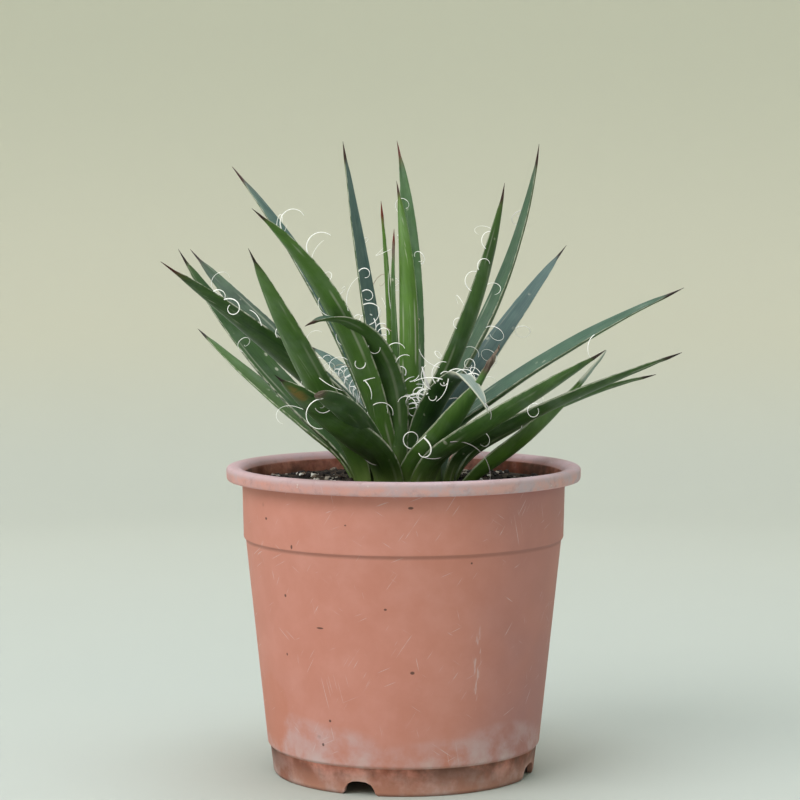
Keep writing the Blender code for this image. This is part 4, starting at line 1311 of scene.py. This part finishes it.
# ---- pot -----------------------------------------------------------------------
@dataclass
class Pot:
    """Thin moulded nursery pot, turned from the outline of its CAD node."""

    axis: Vector
    height: float
    rim: float
    lip: float = 4.8 * MM
    wall: float = 1.3 * MM
    foot: float = 10.1 * MM
    lift: float = 6.0 * MM
    notch_width: float = 11.6 * MM
    notch_height: float = 5.0 * MM
    notches: int = 4
    notch_azimuth: float = -19.0
    drain: float = 3.5 * MM
    segments: int = 192
    wobble: float = 0.22 * MM
    lip_reach: float = 5.6 * MM
    band: float = 25.2 * MM
    band_taper: float = 0.5 * MM
    band_step: float = 0.75 * MM
    foot_share: float = 0.754
    foot_taper: float = 1.1 * MM
    foot_step: float = 0.9 * MM

    @property
    def ledge(self) -> float:
        """Height of the small step below the lip."""
        return self.height - self.band

    def radii(self) -> tuple[float, float, float, float]:
        """Shoulder, step, foot top and foot radius."""
        shoulder, foot_top = self.rim - self.lip_reach, self.foot_share * self.rim
        return shoulder, shoulder - self.band_taper, foot_top, foot_top - self.foot_taper

    def wall_radius(self, level: float) -> float:
        """Outside radius of the wall between foot and lip."""
        shoulder, step, foot_top, _ = self.radii()
        if level >= self.ledge:
            rise = (level - self.ledge) / (self.height - self.lip - self.ledge)
            return step + (shoulder - step) * rise
        low = foot_top + self.foot_step
        rise = (level - self.foot) / (self.ledge - self.foot)
        return low + (step - self.band_step - low) * rise

    def outline(self) -> list[tuple[float, float]]:
        """Closed section of the wall, floor and foot."""
        shoulder, step, foot_top, foot = self.radii()
        top, rim, skirt = self.height, self.rim, self.height - self.lip
        ledge, floor = self.ledge, self.lift + self.wall
        inside, inner = foot_top + self.foot_step - self.wall, shoulder - self.wall
        mid = ledge * 0.55
        return [
            (0.0, floor), (inside * 0.5, floor), (inside - 2.6 * MM, floor),
            (inside - 0.9 * MM, floor + 0.8 * MM), (inside, self.foot + 1.0 * MM),
            (self.wall_radius(mid) - self.wall, mid),
            (step - self.band_step - self.wall, ledge - 1.0 * MM),
            (step - self.wall, ledge + 0.2 * MM),
            (inner, skirt), (inner + 0.4 * MM, top - 2.6 * MM), (inner + 1.3 * MM, top - 1.1 * MM),
            (inner + 2.6 * MM, top - 0.25 * MM), (inner + 3.8 * MM, top),
            (rim - 1.3 * MM, top), (rim - 0.4 * MM, top - 0.35 * MM), (rim, top - 1.2 * MM),
            (rim - 0.15 * MM, skirt + 0.7 * MM), (rim - 0.5 * MM, skirt),
            (rim - 1.1 * MM, skirt), (rim - 1.45 * MM, skirt + 0.6 * MM),
            (rim - 1.5 * MM, top - 2.1 * MM), (rim - 2.1 * MM, top - 1.6 * MM),
            (shoulder + 1.9 * MM, top - 1.8 * MM), (shoulder + 0.5 * MM, top - 3.2 * MM),
            (shoulder, skirt - 0.6 * MM), (step, ledge + 0.4 * MM), (step - 0.2 * MM, ledge),
            (step - self.band_step, ledge - 0.6 * MM),
            (self.wall_radius(mid), mid),
            (foot_top + self.foot_step, self.foot + 0.5 * MM), (foot_top + 0.54 * MM, self.foot),
            (foot_top, self.foot - 0.5 * MM), (foot, 0.8 * MM), (foot - 0.3 * MM, 0.15 * MM),
            (foot - 0.5 * MM, 0.0), (foot - 1.5 * MM, 0.0), (foot - 1.8 * MM, 0.3 * MM),
            (foot - 1.3 * MM, self.lift - 0.8 * MM), (foot - 2.2 * MM, self.lift),
            (0.0, self.lift)]

    def arch(self, azimuth: float) -> bpy.types.Object:
        """Cutter for one drainage notch in the foot."""
        half, top = self.notch_width / 2, self.notch_height
        side = [(1.3, -0.4), (1.12, 0.0), (0.97, 0.16), (0.9, 0.45), (0.74, 0.76), (0.42, 0.95)]
        ring = [(x, z) for x, z in side] + [(0.0, 1.0)] + [(-x, z) for x, z in reversed(side)]
        ring = [(half * x, top * z) for x, z in ring]
        depth = 5.0 * MM
        points = [(x, y, z) for y in (-depth, depth) for x, z in ring]
        count = len(ring)
        faces: list[tuple[int, ...]] = [tuple(range(count)),
                                        tuple(reversed(range(count, 2 * count)))]
        faces += [(i, i + count, (i + 1) % count + count, (i + 1) % count)
                  for i in range(count)]
        mesh = bpy.data.meshes.new("notch_cutter")
        mesh.from_pydata(points, [], faces)
        cutter = bpy.data.objects.new("notch_cutter", mesh)
        bpy.context.scene.collection.objects.link(cutter)
        cutter.matrix_world = (Matrix.Rotation(math.radians(azimuth), 4, "Z")
                               @ Matrix.Translation((0.0, -self.radii()[3], 0.0)))
        return cutter

    def hole(self, place: Vector) -> bpy.types.Object:
        """Cutter for one drain hole in the floor."""
        bm = bmesh.new()
        bmesh.ops.create_cone(bm, cap_ends=True, segments=32, radius1=self.drain,
                              radius2=self.drain, depth=8.0 * MM)
        mesh = bpy.data.meshes.new("drain_cutter")
        bm.to_mesh(mesh)
        bm.free()
        cutter = bpy.data.objects.new("drain_cutter", mesh)
        cutter.location = place
        bpy.context.scene.collection.objects.link(cutter)
        return cutter

    def build(self, finish: PotPlastic) -> bpy.types.Object:
        """Turn the wall, cut its openings, bend it slightly out of true and dress it."""
        points, faces = spun(rounded(self.outline(), 0.45 * MM), self.segments)
        material = finish.make(self.height, self.lip, self.ledge, self.foot)
        item = piece_from("pot_body", points, faces, material)
        turns = [self.notch_azimuth + 360.0 / self.notches * number
                 for number in range(self.notches)]
        cutters = [self.arch(turn) for turn in turns]
        ring = 0.565 * self.radii()[3]
        cutters += [self.hole(Vector((0.0, 0.0, self.lift)))]
        cutters += [self.hole(polar(ring, turn + 45.0, self.lift)) for turn in turns]
        for number, cutter in enumerate(cutters):
            tool = item.modifiers.new(f"cut_{number}", "BOOLEAN")
            tool.operation, tool.solver, tool.object = "DIFFERENCE", "EXACT", cutter
        graph = bpy.context.evaluated_depsgraph_get()
        mesh = bpy.data.meshes.new_from_object(item.evaluated_get(graph))
        item.modifiers.clear()
        item.data = mesh
        for cutter in cutters:
            bpy.data.objects.remove(cutter, do_unlink=True)
        self.store(mesh)
        mesh.shade_smooth()
        mesh.set_sharp_from_angle(angle=math.radians(38.0))
        mesh.transform(Matrix.Translation(self.axis))
        return item

    def store(self, mesh: bpy.types.Mesh) -> None:
        """Bend the wall out of true and store unrolled coordinates on its points."""
        unrolled, flat, within = [], [], []
        for vertex in mesh.vertices:
            place = vertex.co
            radius = math.hypot(place.x, place.y)
            angle = math.atan2(place.x, -place.y)
            unrolled.append((math.degrees(angle), place.z, radius))
            flat.append((angle * self.rim, place.z, 0.0))
            wall = self.wall_radius(min(place.z, self.height - self.lip)) - 0.6 * self.wall
            under_crest = place.z < self.height - 0.5 * MM
            within.append(1.0 if radius < wall and under_crest and place.z > self.lift + 0.6 * MM
                          else 0.0)
            if radius > 0.5 * self.rim:
                lean = self.wobble * place.z / self.height
                push = lean * (math.sin(2 * angle + 0.8) + 0.5 * math.sin(3 * angle + 2.1)
                               + 0.25 * math.sin(7 * angle))
                vertex.co = Vector((place.x * (1 + push / radius),
                                    place.y * (1 + push / radius), place.z))
        for word, values in (("unrolled", unrolled), ("unrolled_flat", flat)):
            mesh.attributes.new(word, "FLOAT_VECTOR", "POINT").data.foreach_set(
                "vector", np.array(values, np.float32).ravel())
        mesh.attributes.new("within", "FLOAT", "POINT").data.foreach_set(
            "value", np.array(within, np.float32))


# ---- soil and stem -------------------------------------------------------------
@dataclass
class Soil:
    """Gritty potting mix: an uneven surface and the loose stones that lie on it."""

    axis: Vector
    surface: float
    inner: float
    outer: float
    stones: int = 2800
    segments: int = 200
    rings: int = 40
    seed: int = 21

    def level(self, x: float, y: float) -> float:
        """Height of the surface at a place relative to the pot's axis."""
        lumps = noise.noise(Vector((x, y, 0.0)) * 95.0) * 0.9 * MM
        crumbs = noise.noise(Vector((x, y, 3.0)) * 420.0) * 0.5 * MM
        mound = 1.4 * MM * math.exp(-((x - 0.023) ** 2 + (y - 0.012) ** 2) / (0.011 ** 2))
        return self.surface + lumps + crumbs + mound

    def build_surface(self, material: bpy.types.Material) -> bpy.types.Object:
        """Uneven ground between the stem and the wall."""
        points, faces = [], []
        for ring in range(self.rings + 1):
            radius = self.inner + (self.outer - self.inner) * ring / self.rings
            for number in range(self.segments):
                angle = 2 * math.pi * number / self.segments
                x, y = radius * math.sin(angle), -radius * math.cos(angle)
                points.append((x, y, self.level(x, y)))
        count = self.segments
        for ring in range(self.rings):
            for number in range(count):
                after = (number + 1) % count
                low, high = ring * count, (ring + 1) * count
                faces.append((low + number, high + number, high + after, low + after))
        item = piece_from("soil_top", np.array(points), faces, material)
        item.data.transform(Matrix.Translation(self.axis))
        return item

    def stone(self, fine: bool) -> tuple[np.ndarray, list[tuple[int, ...]]]:
        """Corner directions and faces of a rough ball."""
        bm = bmesh.new()
        bmesh.ops.create_icosphere(bm, subdivisions=2 if fine else 1, radius=1.0)
        points = np.array([vertex.co[:] for vertex in bm.verts])
        faces = [tuple(vertex.index for vertex in face.verts) for face in bm.faces]
        bm.free()
        return points, faces

    def build_stones(self, material: bpy.types.Material) -> bpy.types.Object:
        """Scatter irregular stones over the ground."""
        dice = random.Random(self.seed)
        balls = {fine: self.stone(fine) for fine in (False, True)}
        points, faces, shades, start = [], [], [], 0
        for _ in range(self.stones):
            radius = math.sqrt(dice.uniform((self.inner * 1.1) ** 2, (self.outer - MM) ** 2))
            angle = dice.uniform(0.0, 2 * math.pi)
            x, y = radius * math.sin(angle), -radius * math.cos(angle)
            size = min(1.6, 0.32 + dice.expovariate(2.7)) * MM
            fine = size > 1.0 * MM
            ball, sides = balls[fine]
            stretch = np.array([dice.uniform(0.7, 1.25), dice.uniform(0.6, 1.1),
                                dice.uniform(0.45, 0.85)])
            turn = np.array(Matrix.Rotation(dice.uniform(0, 6.28), 3, "Z")
                            @ Matrix.Rotation(dice.uniform(-0.5, 0.5), 3, "X"))
            shove = Vector((dice.uniform(0, 50), dice.uniform(0, 50), 0.0))
            knobs = np.array([1.0 + 0.5 * noise.noise(Vector(corner) * 1.7 + shove)
                              for corner in ball])
            corners = (ball * knobs[:, None] * stretch * size) @ turn.T
            height = self.level(x, y) + size * dice.uniform(-0.1, 0.4)
            points.append(corners + np.array((x, y, height)))
            faces += [tuple(start + corner for corner in side) for side in sides]
            kind = dice.random()
            shade = (dice.uniform(0.0, 0.36) if kind < 0.68 else
                     dice.uniform(0.4, 0.62) if kind < 0.84 else dice.uniform(0.72, 1.0))
            shades += [shade] * len(ball)
            start += len(ball)
        item = piece_from("soil_grit", np.vstack(points), faces, material,
                          {"shade": np.array(shades)})
        item.data.transform(Matrix.Translation(self.axis))
        return item


# ---- studio --------------------------------------------------------------------
@dataclass(frozen=True)
class Lamp:
    """One square soft light, aimed at the plant."""

    name: str
    place: tuple[float, float, float]
    size: float
    power: float
    colour: tuple[float, float, float]
    aim: tuple[float, float, float] = (0.0, 0.0, 0.12)

    def hang(self) -> None:
        """Make the light."""
        lamp = bpy.data.lights.new(self.name, "AREA")
        lamp.size, lamp.energy, lamp.color = self.size, self.power, self.colour
        item = bpy.data.objects.new(self.name, lamp)
        item.location = self.place
        away = Vector(self.place) - Vector(self.aim)
        item.rotation_euler = away.to_track_quat("Z", "Y").to_euler()
        item.visible_camera = False
        bpy.context.scene.collection.objects.link(item)


@dataclass
class Studio:
    """Round cloth sweep, soft lights and the camera."""

    flat: float = 0.78
    bend: float = 0.75
    wall: float = 2.2
    segments: int = 96
    arc_steps: int = 24
    lens: float = 110.6
    sensor: float = 36.0
    eye: tuple[float, float, float] = (-0.0075, -0.8627, 0.190)
    tilt: float = 86.075
    sky_colour: Colour = (0.86, 0.95, 1.0, 1.0)
    sky_strength: float = 0.34
    lamps: tuple[Lamp, ...] = (
        Lamp("key", (-1.02, -0.92, 1.0), 1.3, 26.0, (1.0, 0.985, 0.97)),
        Lamp("top", (0.05, 0.05, 1.3), 1.1, 11.5, (0.97, 0.985, 1.0)),
        Lamp("fill", (0.9, -0.8, 0.5), 0.8, 0.6, (0.95, 0.98, 1.0)))

    def build(self) -> None:
        """Set up the sweep, the lights and the camera."""
        profile = [(0.0, 0.0), (0.2, 0.0), (0.5, 0.0), (self.flat, 0.0)]
        for number in range(1, self.arc_steps + 1):
            angle = math.pi / 2 * number / self.arc_steps
            profile.append((self.flat + self.bend * math.sin(angle),
                            self.bend * (1 - math.cos(angle))))
        profile.append((self.flat + self.bend, self.wall))
        points, faces = spun(profile, self.segments)
        sweep = piece_from("studio_sweep", points, faces, Sweep().make())
        for lamp in self.lamps:
            lamp.hang()
        world = bpy.data.worlds.new("soft_room")
        world.use_nodes = True
        sky = world.node_tree.nodes["Background"]
        sky.inputs["Color"].default_value = self.sky_colour
        sky.inputs["Strength"].default_value = self.sky_strength
        bpy.context.scene.world = world
        bpy.context.scene.view_settings.view_transform = "Standard"
        view = bpy.data.cameras.new("camera")
        view.lens, view.sensor_width, view.clip_start = self.lens, self.sensor, 0.01
        camera = bpy.data.objects.new("camera", view)
        camera.location = self.eye
        camera.rotation_euler = (math.radians(self.tilt), 0.0, 0.0)
        bpy.context.scene.collection.objects.link(camera)
        bpy.context.scene.camera = camera


def main() -> None:
    """Load the frame, build the plant around it and dress the frame's soil and stem."""
    logging.basicConfig(level=logging.INFO, format="%(message)s")
    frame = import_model()
    low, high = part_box("pot")
    axis = Vector(((low.x + high.x) / 2, (low.y + high.y) / 2, 0.0))
    pot = Pot(axis, high.z, (high.x - low.x) / 2)
    settle(pot.build(PotPlastic()), "pot_plastic", "pot")
    crown = Crown(axis, high.z)
    Rosette(crown).build()
    stem_low, stem_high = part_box("stem")
    mix = PottingMix().make()
    ground = Soil(axis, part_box("soil")[1].z - 0.9 * MM, (stem_high.x - stem_low.x) / 2 - 4 * MM,
                  pot.wall_radius(high.z - 6.5 * MM) - pot.wall - 0.1 * MM)
    settle(ground.build_surface(mix), "potting_mix")
    settle(ground.build_stones(Grit().make()), "potting_mix")
    for node, material in (("soil", mix), ("stem", CrownTissue().make())):
        frame["nodes"][node].data.materials.clear()
        frame["nodes"][node].data.materials.append(material)
    Studio().build()


if __name__ == "__main__":
    main()
